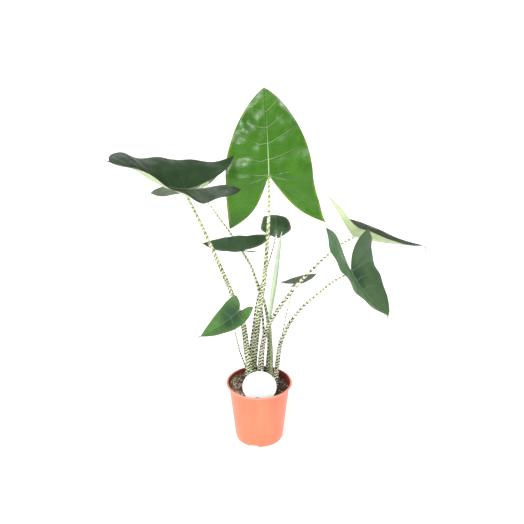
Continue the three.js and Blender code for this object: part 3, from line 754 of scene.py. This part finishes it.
def stem(route, sides, radius_at, cut=None):
    """A closed round stem, wrapped round a route. A cut (place, normal) trims its far end."""
    bm = bmesh.new()
    straight, climb = point_layers(bm, "straight", "climb")
    steps = round(route.length / ring_spacing)
    frames = route.frames(steps)
    for vert, around, row in grid_points(bm, sides, steps):
        share, centre, side, other, ahead = frames[row]
        turn = math.tau * around
        radius = radius_at(share, turn)
        section = Vector((radius * math.cos(turn), radius * math.sin(turn), share * route.length))
        place = centre + section.x * side + section.y * other
        if cut and share == 1:
            place -= ahead * ((place - cut[0]).dot(cut[1]) / ahead.dot(cut[1]))
        vert.co = place * MM
        vert[straight] = section * MM
        vert[climb] = Vector((share, radius * MM, 0))
    bmesh.ops.remove_doubles(bm, verts=bm.verts, dist=weld)
    bmesh.ops.holes_fill(bm, edges=[edge for edge in bm.edges if edge.is_boundary])
    bmesh.ops.recalc_face_normals(bm, faces=bm.faces)
    return bm


# Leaves


def axes(heading, rise, roll):
    """The directions ahead, to the right and up after three turns"""
    ahead = Vector((math.cos(heading) * math.cos(rise), math.sin(heading) * math.cos(rise),
                    math.sin(rise)))
    level = Vector((math.sin(heading), -math.cos(heading), 0))
    up = level.cross(ahead)
    right = level * math.cos(roll) + up * math.sin(roll)
    above = up * math.cos(roll) - level * math.sin(roll)
    return ahead, right, above


class BladeForm:
    """The flat outline, the veins and the bent surface of one blade, in millimetres.
    Half 0 is the right one, half 1 the left one."""

    def __init__(self, leaf):
        self.leaf = leaf
        self.behind = max(leaf["lobe"])
        self.front = self.walk(leaf["length"])
        self.rear = self.walk(-self.behind)
        self.known = {}
        self.fineness = 0.45 + 0.55 * clamp01(leaf["width"] / 100)
        ahead, right, above = axes(*[math.radians(leaf[k]) for k in ("heading", "rise", "roll")])
        self.turn = Matrix((right, ahead, above)).transposed()
        self.joint = Vector(leaf["joint"])

    def outer_edge(self, half, y):
        """How far out from the midrib the margin lies"""
        leaf = self.leaf
        if y < 0:
            u = clamp01(-y / leaf["lobe"][half])
            return leaf["width"] + (leaf["spread"][half] - leaf["width"]) * u ** 1.5
        body = leaf["length"] - leaf["drip"]
        broad = leaf["width"] * (1 - clamp01(y / body) ** leaf["belly"]) ** leaf["taper"]
        return max(broad, leaf["drip_width"] * min(leaf["length"] - y, leaf["drip"]))

    def inner_edge(self, half, y):
        """How far out the cleft lies between the lobes, and 0 ahead of the joint"""
        if y >= 0:
            return 0
        leaf = self.leaf
        u = clamp01(-y / leaf["lobe"][half])
        straight = leaf["sinus"][half]
        return leaf["spread"][half] * (straight * u + (1 - straight) * u ** 4.5)

    def rib_frame(self, y):
        """The midrib's own directions along, across and up"""
        leaf = self.leaf
        t = clamp01(y / leaf["length"])
        u = clamp01(-y / self.behind)
        tip_turn = leaf["curl"] * smooth((t - leaf["curl_from"]) / (1 - leaf["curl_from"]))
        pitch = math.radians(leaf["arch"] * t + tip_turn + leaf["back"] * u)
        yaw = math.radians(leaf["sway"] * t)
        roll = math.radians(leaf["twist"] * t + leaf["twist_back"] * u)
        return axes(math.pi / 2 - yaw, pitch, roll)

    def walk(self, span):
        """The midrib's places from the joint to its tip, or back to the end of the lobes"""
        count = math.ceil(abs(span) / 1.5)
        places = [Vector((0, 0, 0))]
        for i in range(count):
            ahead = self.rib_frame(span * (i + 0.5) / count)[0]
            places.append(places[-1] + ahead * span / count)
        return places

    def rib(self, y):
        """Place, cross and upward direction of the midrib at y"""
        if y not in self.known:
            places = self.front if y >= 0 else self.rear
            reach = self.leaf["length"] if y >= 0 else self.behind
            f = clamp01(abs(y) / reach) * (len(places) - 1)
            i = min(int(f), len(places) - 2)
            self.known[y] = (places[i].lerp(places[i + 1], f - i), *self.rib_frame(y)[1:])
        return self.known[y]

    def place(self, half, x, y):
        """The middle of the blade at x out from the midrib and y along it"""
        leaf = self.leaf
        place, cross, above = self.rib(y)
        t = smooth(y / leaf["length"])
        u = smooth(-y / leaf["lobe"][half])
        flat = leaf["fold"][half]
        fold = flat + (leaf["fold_tip"][half] - flat) * t + (leaf["fold_back"][half] - flat) * u
        fold += leaf["fold_mid"][half] * math.sin(math.pi * clamp01(y / leaf["length"]))
        fold = math.radians(fold)
        cup = leaf["cup"][half] + (leaf["cup_back"][half] - leaf["cup"][half]) * u
        bend = 1e-7 if abs(cup) < 0.01 else math.radians(cup) / leaf["width"]
        slope = fold + bend * x
        ripple = leaf["wave"] * (x / leaf["width"]) ** 2 * math.sin(
            math.tau * leaf["waves"] * y / leaf["length"] + leaf["phase"][half])
        out = (math.sin(slope) - math.sin(fold)) / bend - math.sin(slope) * ripple
        lift = (math.cos(fold) - math.cos(slope)) / bend + math.cos(slope) * ripple
        made = place + cross * (out if half == 0 else -out) + above * lift
        return self.turn @ made + self.joint

    def veins(self, half, x, y):
        """Number of the side vein at a point, the gap to the next and a vein's half width.
        Side veins leave the midrib ahead of the joint, and fan out into the lobe behind it.
        Those of the left half leave it a little further on."""
        leaf = self.leaf
        start = 0.08
        more = (1.1, 0.8)[half] / leaf["length"]
        rise = 0.16 * x * x / leaf["width"]
        foot = (y - start * x - rise) / (1 + more * x)
        offset = 0.22 * half * smooth(x / 25)
        if foot >= 0:
            gap = leaf["length"] / veins_ahead
            stretch = (1 + more * x) * math.cos(math.atan(start + more * foot))
            width = vein_half_width * (1 - 0.6 * clamp01(x / leaf["width"]))
            return foot / gap + offset, gap * stretch, width * self.fineness
        lobe = math.atan2(leaf["lobe"][half], 0.95 * leaf["spread"][half])
        step = (lobe + math.atan(start)) / 2
        number = (math.atan2(y - rise, max(x, 1e-6)) - math.atan(start)) / step
        number += offset * clamp01(1 + number)
        reach = math.hypot(x, y)
        basal = 1.1 * (1 - clamp01(abs(number + 2) / 0.5))
        width = (vein_half_width + basal) * (1 - 0.6 * clamp01(reach / (leaf["width"] + 30)))
        return number, max(reach, 0.5) * step, width * self.fineness

    def upward(self):
        """The direction away from the upper side at the joint"""
        near = 0.4
        normal = Vector((0, 0, 0))
        for half, sign in ((0, 1), (1, -1)):
            across = self.place(half, near, 0) - self.place(half, 0, 0)
            along = self.place(half, 0, near) - self.place(half, 0, -near)
            normal += sign * across.cross(along).normalized()
        return normal.normalized()


def rib_depth(leaf, sizes):
    """How far the midrib stands out below the joint, in metres"""
    return sizes.rib_depth * (1 if leaf["width"] > large_width else 0.6)


def blade_sheet(form):
    """The middle surface of a blade: one fine grid a half, welded along the midrib and bent"""
    leaf = form.leaf
    bm = bmesh.new()
    flat, vein, upward = point_layers(bm, "flat", "vein", "upward")
    columns = round(14 + leaf["width"] / 4)
    front_rows = round(leaf["length"] / row_spacing)
    for half in (0, 1):
        lobe = leaf["lobe"][half]
        back_rows = round(lobe / row_spacing)
        for vert, f, row in grid_points(bm, columns, front_rows + back_rows):
            ahead = row - back_rows
            share = ahead / front_rows if ahead >= 0 else -ahead / back_rows
            share = 0.5 * share + 0.5 * math.sin(math.pi / 2 * share)
            y = share * leaf["length"] if ahead >= 0 else -share * lobe
            inner = form.inner_edge(half, y)
            outer = form.outer_edge(half, y)
            x = inner + (outer - inner) * f * (0.4 + 0.6 * f)
            margin = outer - x if y >= 0 else min(outer - x, x - inner + 0.02)
            vert.co = form.place(half, x, y) * MM
            vert[flat] = Vector((x if half == 0 else -x, y, max(margin, 0))) * MM
            number, gap, width = form.veins(half, x, y)
            vert[vein] = Vector((number, gap * MM, width * MM))
    joint = min(closed(bm).verts, key=lambda vert: vert[flat].length)
    if joint.normal.dot(form.upward()) < 0:
        bmesh.ops.reverse_faces(bm, faces=bm.faces)
    bm.normal_update()
    for vert in bm.verts:
        vert[upward] = vert.normal
    return bm, flat, vein, upward


def blade_mesh(leaf, sizes):
    """A blade with its two sides: swollen between the veins, ribbed below, thin at its margin"""
    length, width = leaf["length"], leaf["width"]
    bm, flat, vein, upward = blade_sheet(BladeForm(leaf))
    upper = bm.faces[:]
    lower_verts = set(new_verts(bmesh.ops.extrude_face_region(
        bm, geom=upper + bm.edges[:] + bm.verts[:], use_keep_orig=True)))
    for vert in bm.verts:
        x, y, margin = vert[flat] / MM
        half_wall = sizes.blade_thickness / 2 * (0.35 + 0.65 * smooth(margin / 7))
        drip = smooth((y - length + leaf["drip"]) / 5) * clamp01(0.2 + (length - y) / 12)
        half_wall += sizes.drip_thickness / 2 * drip
        panel = 0.5 - 0.5 * math.cos(math.tau * vert[vein].x)
        inland = smooth(margin / 25) * smooth(math.hypot(x, max(-y, 0)) / 30)
        swell = sizes.quilting * panel * inland * clamp01(width / 90)
        swell += sizes.undulation * inland * noise.noise(Vector((x / 34, y / 34, leaf["heading"])))
        if vert in lower_verts:
            rib = rib_depth(leaf, sizes) * math.exp(-(x / 2.1) ** 2) * smooth(1 + y / 6)
            rib *= 1 - 0.9 * clamp01(y / length)
            vert.co += vert[upward] * (swell - half_wall - rib)
        else:
            groove = rib_groove * MM * math.exp(-(x / 1.8) ** 2) * smooth(1 + y / 4)
            vert.co += vert[upward] * (swell + half_wall - groove)
    for face in bm.faces:
        face.material_index = 1
    for face in upper:
        if face.is_valid:
            face.material_index = 0
    bm.verts.layers.float_vector.remove(upward)
    bmesh.ops.recalc_face_normals(bm, faces=bm.faces)
    leaf_map = bm.loops.layers.uv.new("leaf_map")
    for face in bm.faces:
        for loop in face.loops:
            x, y, _ = loop.vert[flat]
            loop[leaf_map].uv = (0.5 + x / leaf_map_size, 0.4 + y / leaf_map_size)
    return bm


def stalk_mesh(leaf, sizes):
    """A leaf stalk from below the soil to the underside of its blade"""
    form = BladeForm(leaf)
    start = form.place(0, 0, 0)
    normal = form.upward()
    first_row = leaf["length"] * math.sin(math.pi / 2 / leaf["rows"])
    ahead = (form.place(0, 0, first_row) - start).normalized()
    sag = max(0, -1.2 * leaf["grip"] * ahead.dot(normal))
    seat = start - normal * (0.4 + rib_depth(leaf, sizes) / MM + sag)
    foot = [*leaf["route"][0][:2], soil_top - stalk_depth]
    route = Route([foot, *leaf["route"], seat + ahead * leaf["grip"] / 2])
    low, top = leaf["stalk"]
    ribbing, sides = (0.035, 20) if low > 4 else (0.015, 14)

    def radius_at(share, turn):
        plain = top + (low - top) * (1 - share) ** stalk_taper
        ridges = ribbing * math.cos(5 * turn + 3 * share) * (1 - smooth(share * 1.4))
        return plain * (1 + ridges)

    return stem(route, sides, radius_at, (seat, normal))


# Pot and soil


def soil_surface(x, y):
    """The soil's height, with its heaps and clods"""
    lumps = math.sin(x * 0.13 + 1) * math.cos(y * 0.11) + 0.6 * math.sin(x * 0.29 - y * 0.23)
    clods = noise.fractal(Vector((x / 9, y / 9, 3.1)), 0.7, 2.1, 4)
    return soil_top - soil_slope * x + soil_bump * lumps + 1.5 * clods


def wall_radius(z, sizes):
    """The radius of the pot's inner wall at a height"""
    wall = sizes.pot_wall / MM
    if z <= pot_neck_height:
        return pot_foot_radius + wall_slope * z - wall
    share = (z - pot_neck_height) / (sizes.pot_height / MM - pot_neck_height)
    lip = sizes.pot_rim_radius / MM - lip_width
    return pot_neck_radius - wall + (lip + wall - pot_neck_radius) * share ** 1.5


def wall_points(levels, sizes, gap=0):
    return [(wall_radius(z, sizes) - gap, z) for z in levels]


# Operators


def settings(context):
    return context.scene.alocasia_sizes, context.scene.alocasia_colours


class PotOperator(Operator):
    """Turn the pot with its rolled lip, stepped underside and drain notches"""
    bl_idname = "alocasia.pot"
    bl_label = "Pot"

    def execute(self, context):
        sizes, colours = settings(context)
        rim = sizes.pot_rim_radius / MM
        top = sizes.pot_height / MM
        wall = sizes.pot_wall / MM
        lip = rim - lip_width
        foot = pot_foot_radius - foot_rounding
        collar = [pot_neck_height + (top - pot_neck_height) * i / 10 for i in range(1, 8)]
        inside = wall_points(collar, sizes)
        levels = range(25, pot_neck_height, 30)
        corner = wall_radius(pot_floor + 4, sizes)
        floor_edge = wall_radius(pot_floor, sizes)
        shell = spun([
            (0, pad_height), (pad_radius, pad_height), (pad_radius + 2, under_recess),
            (foot_ring_inner, under_recess), (foot_ring_inner + 1.2, 0.8),
            (foot_ring_inner + 2.4, 0), (foot, 0),
            *arc((foot, foot_rounding), foot_rounding, foot_rounding, (-65, -40, -15)),
            *[(pot_foot_radius + wall_slope * z, z) for z in levels],
            (pot_neck_radius, pot_neck_height), *[(radius + wall, z) for radius, z in inside],
            (lip + wall, top - lip_height - 0.6), (lip + wall + 0.5, top - lip_height),
            *arc((rim - lip_width / 2, top - lip_height / 2), lip_width / 2, lip_height / 2,
                 range(-60, 241, 20)),
            *reversed(inside), *wall_points(reversed(levels), sizes),
            (corner, pot_floor + 4), (floor_edge - 1.5, pot_floor + 1),
            (floor_edge - 4, pot_floor), (0, pot_floor),
        ], pot_sides)
        # Inward faces below the lip take the dark inner finish, which is painted shade
        for face in shell.faces:
            middle = face.calc_center_median()
            inward = face.normal.x * middle.x + face.normal.y * middle.y < 0
            face.material_index = int(inward and middle.z < sizes.pot_height - 0.001)
        lip_highlight = (colours.pot_lip_highlight, (top - lip_height) * MM)
        pot = add_piece(shell, "pot_shell", "pot_plastic", [
            pot_plastic("Pot plastic", colours.pot, lip_highlight),
            pot_plastic("Pot inner wall", colours.pot_inside_shade)], "pot")
        self.notch(pot)
        shade(pot, 35)
        return {"FINISHED"}

    def notch(self, pot):
        """Cuts the drain notches through the foot of the pot."""
        bm = bmesh.new()
        size = Matrix.Diagonal((2 * drain_reach * MM, drain_width * MM, 2 * drain_height * MM, 1))
        out = Matrix.Translation((pot_foot_radius * MM, 0, 0))
        for i in range(drain_count):
            angle = math.radians(first_drain_angle + 360 * i / drain_count)
            turn = Matrix.Rotation(angle, 4, "Z")
            bmesh.ops.create_cube(bm, size=1, matrix=turn @ out @ size)
        roof = [e for e in bm.edges if all(vert.co.z > 0 for vert in e.verts)]
        bmesh.ops.bevel(bm, geom=roof, offset=drain_rounding * MM, affect="EDGES",
                        segments=3, profile=0.5, material=-1)
        cutter = add_object(bm, "notches")
        cut = pot.modifiers.new("Notches", "BOOLEAN")
        cut.operation = "DIFFERENCE"
        cut.solver = "EXACT"
        cut.object = cutter
        ready = pot.evaluated_get(bpy.context.evaluated_depsgraph_get())
        spent = [pot.data, cutter.data]
        pot.data = bpy.data.meshes.new_from_object(ready)
        pot.modifiers.remove(cut)
        bpy.data.objects.remove(cutter)
        for mesh in spent:
            bpy.data.meshes.remove(mesh)


class SoilOperator(Operator):
    """Fill the pot with peat and strew crumbs and dry bits over it"""
    bl_idname = "alocasia.soil"
    bl_label = "Soil"

    def execute(self, context):
        sizes, colours = settings(context)
        level = wall_radius(soil_top, sizes)
        gap = 2 * clearance
        surface = [(level * i / soil_rings, soil_top) for i in range(soil_rings + 1)]
        side = wall_points((160, 154, 146, 100, 50, 10), sizes, gap)
        bottom = pot_floor + clearance
        fill = spun([*surface, *side, (side[-1][0] - 5, bottom), (0, bottom)], soil_sides)
        for vert in fill.verts:
            if vert.co.z < (soil_top - 2) * MM:
                continue
            x, y = vert.co.x / MM, vert.co.y / MM
            out = math.hypot(x, y) / level
            if out > 0:
                edge = wall_radius(soil_surface(x / out, y / out), sizes) - gap
                x, y = x * edge / level, y * edge / level
            vert.co = Vector((x, y, soil_surface(x, y))) * MM
        finish = peat(colours.soil, colours.crumb)
        add_piece(fill, "soil_fill", "potting_soil", [finish], "potting_soil", sharp=80)
        self.crumbs(sizes, colours, level - 3)
        return {"FINISHED"}

    def crumbs(self, sizes, colours, reach):
        """Strews crumbs over the soil, clear of the stalks and the label."""
        chance = random.Random(crumb_seed)
        feet = [(leaf["route"][0], leaf["stalk"][0]) for leaf in leaves]
        feet.append((new_leaf_stalk_route[0], new_leaf_stalk_radius[0]))
        bm = bmesh.new()
        laid = 0
        while laid < sizes.crumbs:
            out = reach * math.sqrt(chance.random())
            turn = chance.uniform(0, math.tau)
            x, y = out * math.cos(turn), out * math.sin(turn)
            size = sizes.crumb_size / MM * chance.uniform(0.45, 1.5)
            in_stalk = any(math.hypot(x - p[0], y - p[1]) < r + 0.6 * size for p, r in feet)
            in_label = (abs(x - disc_centre.x) < label_clear[0]
                        and abs(y - disc_centre.y) < label_clear[1])
            if in_stalk or in_label:
                continue
            laid += 1
            dry = chance.random() < dry_share - dry_slope * x
            shape = Matrix.LocRotScale(
                Vector((x, y, soil_surface(x, y) + 0.35 * size)) * MM,
                Matrix.Rotation(chance.uniform(0, math.tau), 3, "Z").to_quaternion()
                @ Matrix.Rotation(chance.uniform(-0.7, 0.7), 3, "X").to_quaternion(),
                Vector((chance.uniform(0.7, 1.5), chance.uniform(0.6, 1.1),
                        chance.uniform(0.4, 0.9))) * size * MM)
            lump = bmesh.ops.create_icosphere(bm, subdivisions=1, radius=1, matrix=shape)["verts"]
            for vert in lump:
                vert.co += 0.25 * size * MM * noise.noise_vector(vert.co * 800)
            for face in {face for vert in lump for face in vert.link_faces}:
                face.material_index = int(dry)
        finishes = [crumb_finish("Peat crumbs", colours.soil),
                    crumb_finish("Dry soil bits", colours.crumb)]
        add_piece(bm, "soil_crumbs", "potting_soil", finishes, sharp=30)


class LabelOperator(Operator):
    """Cut the plain round label with its stake and lean it back in the soil"""
    bl_idname = "alocasia.label"
    bl_label = "Label"

    def execute(self, context):
        sizes, colours = settings(context)
        radius = sizes.label_diameter / 2
        thickness = sizes.label_thickness
        half_stake = stake_width / 2 * MM
        bm = bmesh.new()
        bmesh.ops.create_circle(bm, cap_ends=True, segments=label_sides, radius=radius,
                                matrix=Matrix.Rotation(math.pi / 2, 4, "X"))
        foot = [e for e in bm.edges if all(
            v.co.z < 0 and abs(v.co.x) <= half_stake + 1e-4 for v in e.verts)]
        for vert in new_verts(bmesh.ops.extrude_edge_only(bm, edges=foot)):
            point = clamp01(abs(vert.co.x) / half_stake)
            vert.co.z = -radius - stake_length * MM + stake_point * MM * point ** 3
        bmesh.ops.recalc_face_normals(bm, faces=bm.faces)
        back = new_verts(bmesh.ops.extrude_face_region(
            bm, geom=bm.faces[:] + bm.edges[:], use_keep_orig=True))
        bmesh.ops.translate(bm, verts=bm.verts, vec=(0, -thickness / 2, 0))
        bmesh.ops.translate(bm, verts=back, vec=(0, thickness, 0))
        bmesh.ops.recalc_face_normals(bm, faces=bm.faces)
        corners = [e for e in bm.edges if e.calc_face_angle(0) > math.radians(60)]
        bmesh.ops.bevel(bm, geom=corners, offset=thickness / 4, affect="EDGES", segments=2,
                        profile=0.5, material=-1)
        lean = Matrix.Rotation(math.radians(-disc_lean), 4, "X")
        bmesh.ops.transform(bm, verts=bm.verts, matrix=Matrix.Translation(disc_centre * MM) @ lean)
        add_piece(bm, "plant_label", "label_plastic", [label_plastic(colours.label)], "label")
        return {"FINISHED"}


class BladesOperator(Operator):
    """Shape the nine open blades"""
    bl_idname = "alocasia.blades"
    bl_label = "Leaf blades"

    def execute(self, context):
        sizes, colours = settings(context)
        under = blade_under(colours)
        # The grey rim patches are painted sheen
        sheened = (1, colours.rim_sheen)
        traits = {
            "bright": dict(sheen=0.34, veining=0.45, rough=0.2, yellowing_and_sheen=(0.8, colours.yellowing)),
            "dark": dict(sheen=0.24),
            "dusk": dict(sheen=0.24, yellowing_and_sheen=sheened),
            "forest": dict(veining=0.12, yellowing_and_sheen=sheened),
            "dull": dict(yellowing_and_sheen=sheened),
            "mid": dict(middle=colours.middle),
            "hanging": dict(veining=0.2, middle=colours.middle, lit_half=colours.hanging_lit),
        }
        upper = {green: blade_upper(f"{green.capitalize()} blade", getattr(colours, green),
                                    colours, **given) for green, given in traits.items()}
        slots = {"bright": "leaf_bright", "mid": "leaf_mid", "hanging": "leaf_mid"}
        for leaf in leaves:
            name, green = leaf["name"], leaf["green"]
            add_piece(blade_mesh(leaf, sizes), f"blade_{name}", slots.get(green, "leaf_dark"),
                      [upper[green], under], f"leaf_{name}_blade", sharp=60)
        return {"FINISHED"}


class StalksOperator(Operator):
    """Draw the nine banded leaf stalks"""
    bl_idname = "alocasia.stalks"
    bl_label = "Leaf stalks"

    def execute(self, context):
        sizes, colours = settings(context)
        banded = {
            "olive": banded_stalk("Olive banded stalk", colours.olive, colours.stalk,
                                  colours.faded_olive, sizes.band_gap),
            "brown": banded_stalk("Brown banded stalk", colours.brown, colours.stalk_grey,
                                  colours.faded_brown, sizes.band_gap),
        }
        for leaf in leaves:
            name = leaf["name"]
            add_piece(stalk_mesh(leaf, sizes), f"stalk_{name}", "leaf_stalk",
                      [banded[leaf["marks"]]], f"leaf_{name}_stalk")
        return {"FINISHED"}


class NewLeafOperator(Operator):
    """Roll the new leaf and draw its plain stalk"""
    bl_idname = "alocasia.new_leaf"
    bl_label = "New leaf"

    def execute(self, context):
        colours = context.scene.alocasia_colours
        route = Route(new_leaf_route)
        low, top = new_leaf_stalk_radius
        foot = [*new_leaf_stalk_route[0][:2], soil_top - stalk_depth]
        stalk = stem(Route([foot, *new_leaf_stalk_route, route.at(0.01)]), 20,
                     lambda share, turn: top + (low - top) * (1 - share) ** stalk_taper)
        add_piece(stalk, "new_leaf_stalk", "leaf_stalk",
                  [plain_stalk(colours.new_stalk, colours.stalk)], "rolled_leaf_stalk")
        add_piece(self.roll(route), "new_leaf_blade", "leaf_new",
                  [rolled_blade(colours.new_leaf, colours.new_stripe)], "rolled_leaf_blade")
        return {"FINISHED"}

    def roll(self, route):
        """Winds a thin sheet about the route, its outer edge lying over the turn below."""
        bm = bmesh.new()
        straight, scroll = point_layers(bm, "straight", "scroll")
        steps, around = 110, 56
        frames = route.frames(steps)
        last = len(new_leaf_radii) - 1
        for vert, wound, row in grid_points(bm, around, steps):
            share, centre, side, other, _ = frames[row]
            f = share * last
            k = min(int(f), last - 1)
            radius = new_leaf_radii[k] + (new_leaf_radii[k + 1] - new_leaf_radii[k]) * (f - k)
            radius *= 0.5 + 0.62 * wound
            turn = math.tau * new_leaf_turns * wound + new_leaf_twist * share + new_leaf_start
            section = Vector(
                (radius * math.cos(turn), radius * math.sin(turn), share * route.length))
            vert.co = (centre + section.x * side + section.y * other) * MM
            vert[straight] = section * MM
            vert[scroll] = Vector((wound, share, 0))
        bmesh.ops.recalc_face_normals(bm, faces=bm.faces)
        bmesh.ops.solidify(bm, geom=bm.faces[:], thickness=new_leaf_thickness * MM)
        return bm


class StageOperator(Operator):
    """Set the floor, the lights and the camera"""
    bl_idname = "alocasia.stage"
    bl_label = "Stage"

    def execute(self, context):
        scene = context.scene
        bm = bmesh.new()
        bmesh.ops.create_grid(bm, x_segments=8, y_segments=8, size=60)
        floor = add_object(bm, "floor", [floor_finish(scene.alocasia_colours.floor)])
        scene.world = bpy.data.worlds.new("Studio")
        scene.world.use_nodes = True
        self.light_tent(Nodes(scene.world.node_tree))
        self.sun("key sun", (46, 0, -28), 2.1, 24)
        self.sun("front fill", (57, 0, 16), 0.88, 10)
        self.softbox("high softbox", (-1.3, -1.5, 2.3), 0.5, 12)
        self.softbox("back softbox", (-0.3, 2.0, 2.1), 1.0, 5)
        camera = bpy.data.cameras.new("camera")
        camera.sensor_width = 36
        camera.lens = camera_lens
        camera.clip_end = 200
        scene.camera = self.hang("camera", camera, camera_place, (camera_tilt, 0, 0))
        scene.view_settings.view_transform = "Standard"
        return {"FINISHED"}

    def hang(self, name, thing, place, angles):
        """Puts a lamp or the camera at a place, turned by angles in degrees."""
        made = bpy.data.objects.new(name, thing)
        made.location = place
        made.rotation_euler = [math.radians(angle) for angle in angles]
        bpy.context.scene.collection.objects.link(made)
        return made

    def sun(self, name, angles, strength, spread):
        light = bpy.data.lights.new(name, "SUN")
        light.energy = strength
        light.angle = math.radians(spread)
        self.hang(name, light, (0, 0, 0), angles)

    def softbox(self, name, place, size, power):
        """A square lamp that faces the middle of the plant"""
        light = bpy.data.lights.new(name, "AREA")
        light.size = size
        light.energy = power
        lamp = self.hang(name, light, place, (0, 0, 0))
        lamp.rotation_euler = (lamp.location - plant_middle).to_track_quat("Z", "Y").to_euler()

    def light_tent(self, sky):
        """White all round, brighter overhead than at the sides, with a bright band low down"""
        height = sky.parts(sky.place("Generated"))[2]
        overhead = sky.step(height, 0, 1, 0.12, 0.52)
        low_band = sky.step(height, 0.12, 0.3, 1, 0)
        strength = sky.calc("MAXIMUM", overhead, low_band)
        sky.fill(sky.tree.nodes["Background"], {"Color": (1, 1, 1), "Strength": strength})


class AlocasiaPanel(Panel):
    """The sizes, the colours and the pieces in the sidebar"""
    bl_idname = "VIEW3D_PT_alocasia"
    bl_label = "Potted zebrina alocasia"
    bl_space_type = "VIEW_3D"
    bl_region_type = "UI"
    bl_category = "Alocasia"

    def draw(self, context):
        layout = self.layout
        for group in settings(context):
            box = layout.box()
            for name in group.__annotations__:
                box.prop(group, name)
        for operator in operators:
            layout.operator(operator.bl_idname)


operators = [PotOperator, SoilOperator, LabelOperator, BladesOperator, StalksOperator,
             NewLeafOperator, StageOperator]
classes = [AlocasiaSizes, AlocasiaColours, *operators, AlocasiaPanel]


def register():
    for made in classes:
        bpy.utils.register_class(made)
    bpy.types.Scene.alocasia_sizes = PointerProperty(type=AlocasiaSizes)
    bpy.types.Scene.alocasia_colours = PointerProperty(type=AlocasiaColours)


def unregister():
    del bpy.types.Scene.alocasia_colours
    del bpy.types.Scene.alocasia_sizes
    for made in reversed(classes):
        bpy.utils.unregister_class(made)


def main():
    register()
    bpy.ops.alocasia.pot()
    bpy.ops.alocasia.soil()
    bpy.ops.alocasia.label()
    bpy.ops.alocasia.blades()
    bpy.ops.alocasia.stalks()
    bpy.ops.alocasia.new_leaf()
    bpy.ops.alocasia.stage()


if __name__ == "__main__":
    main()
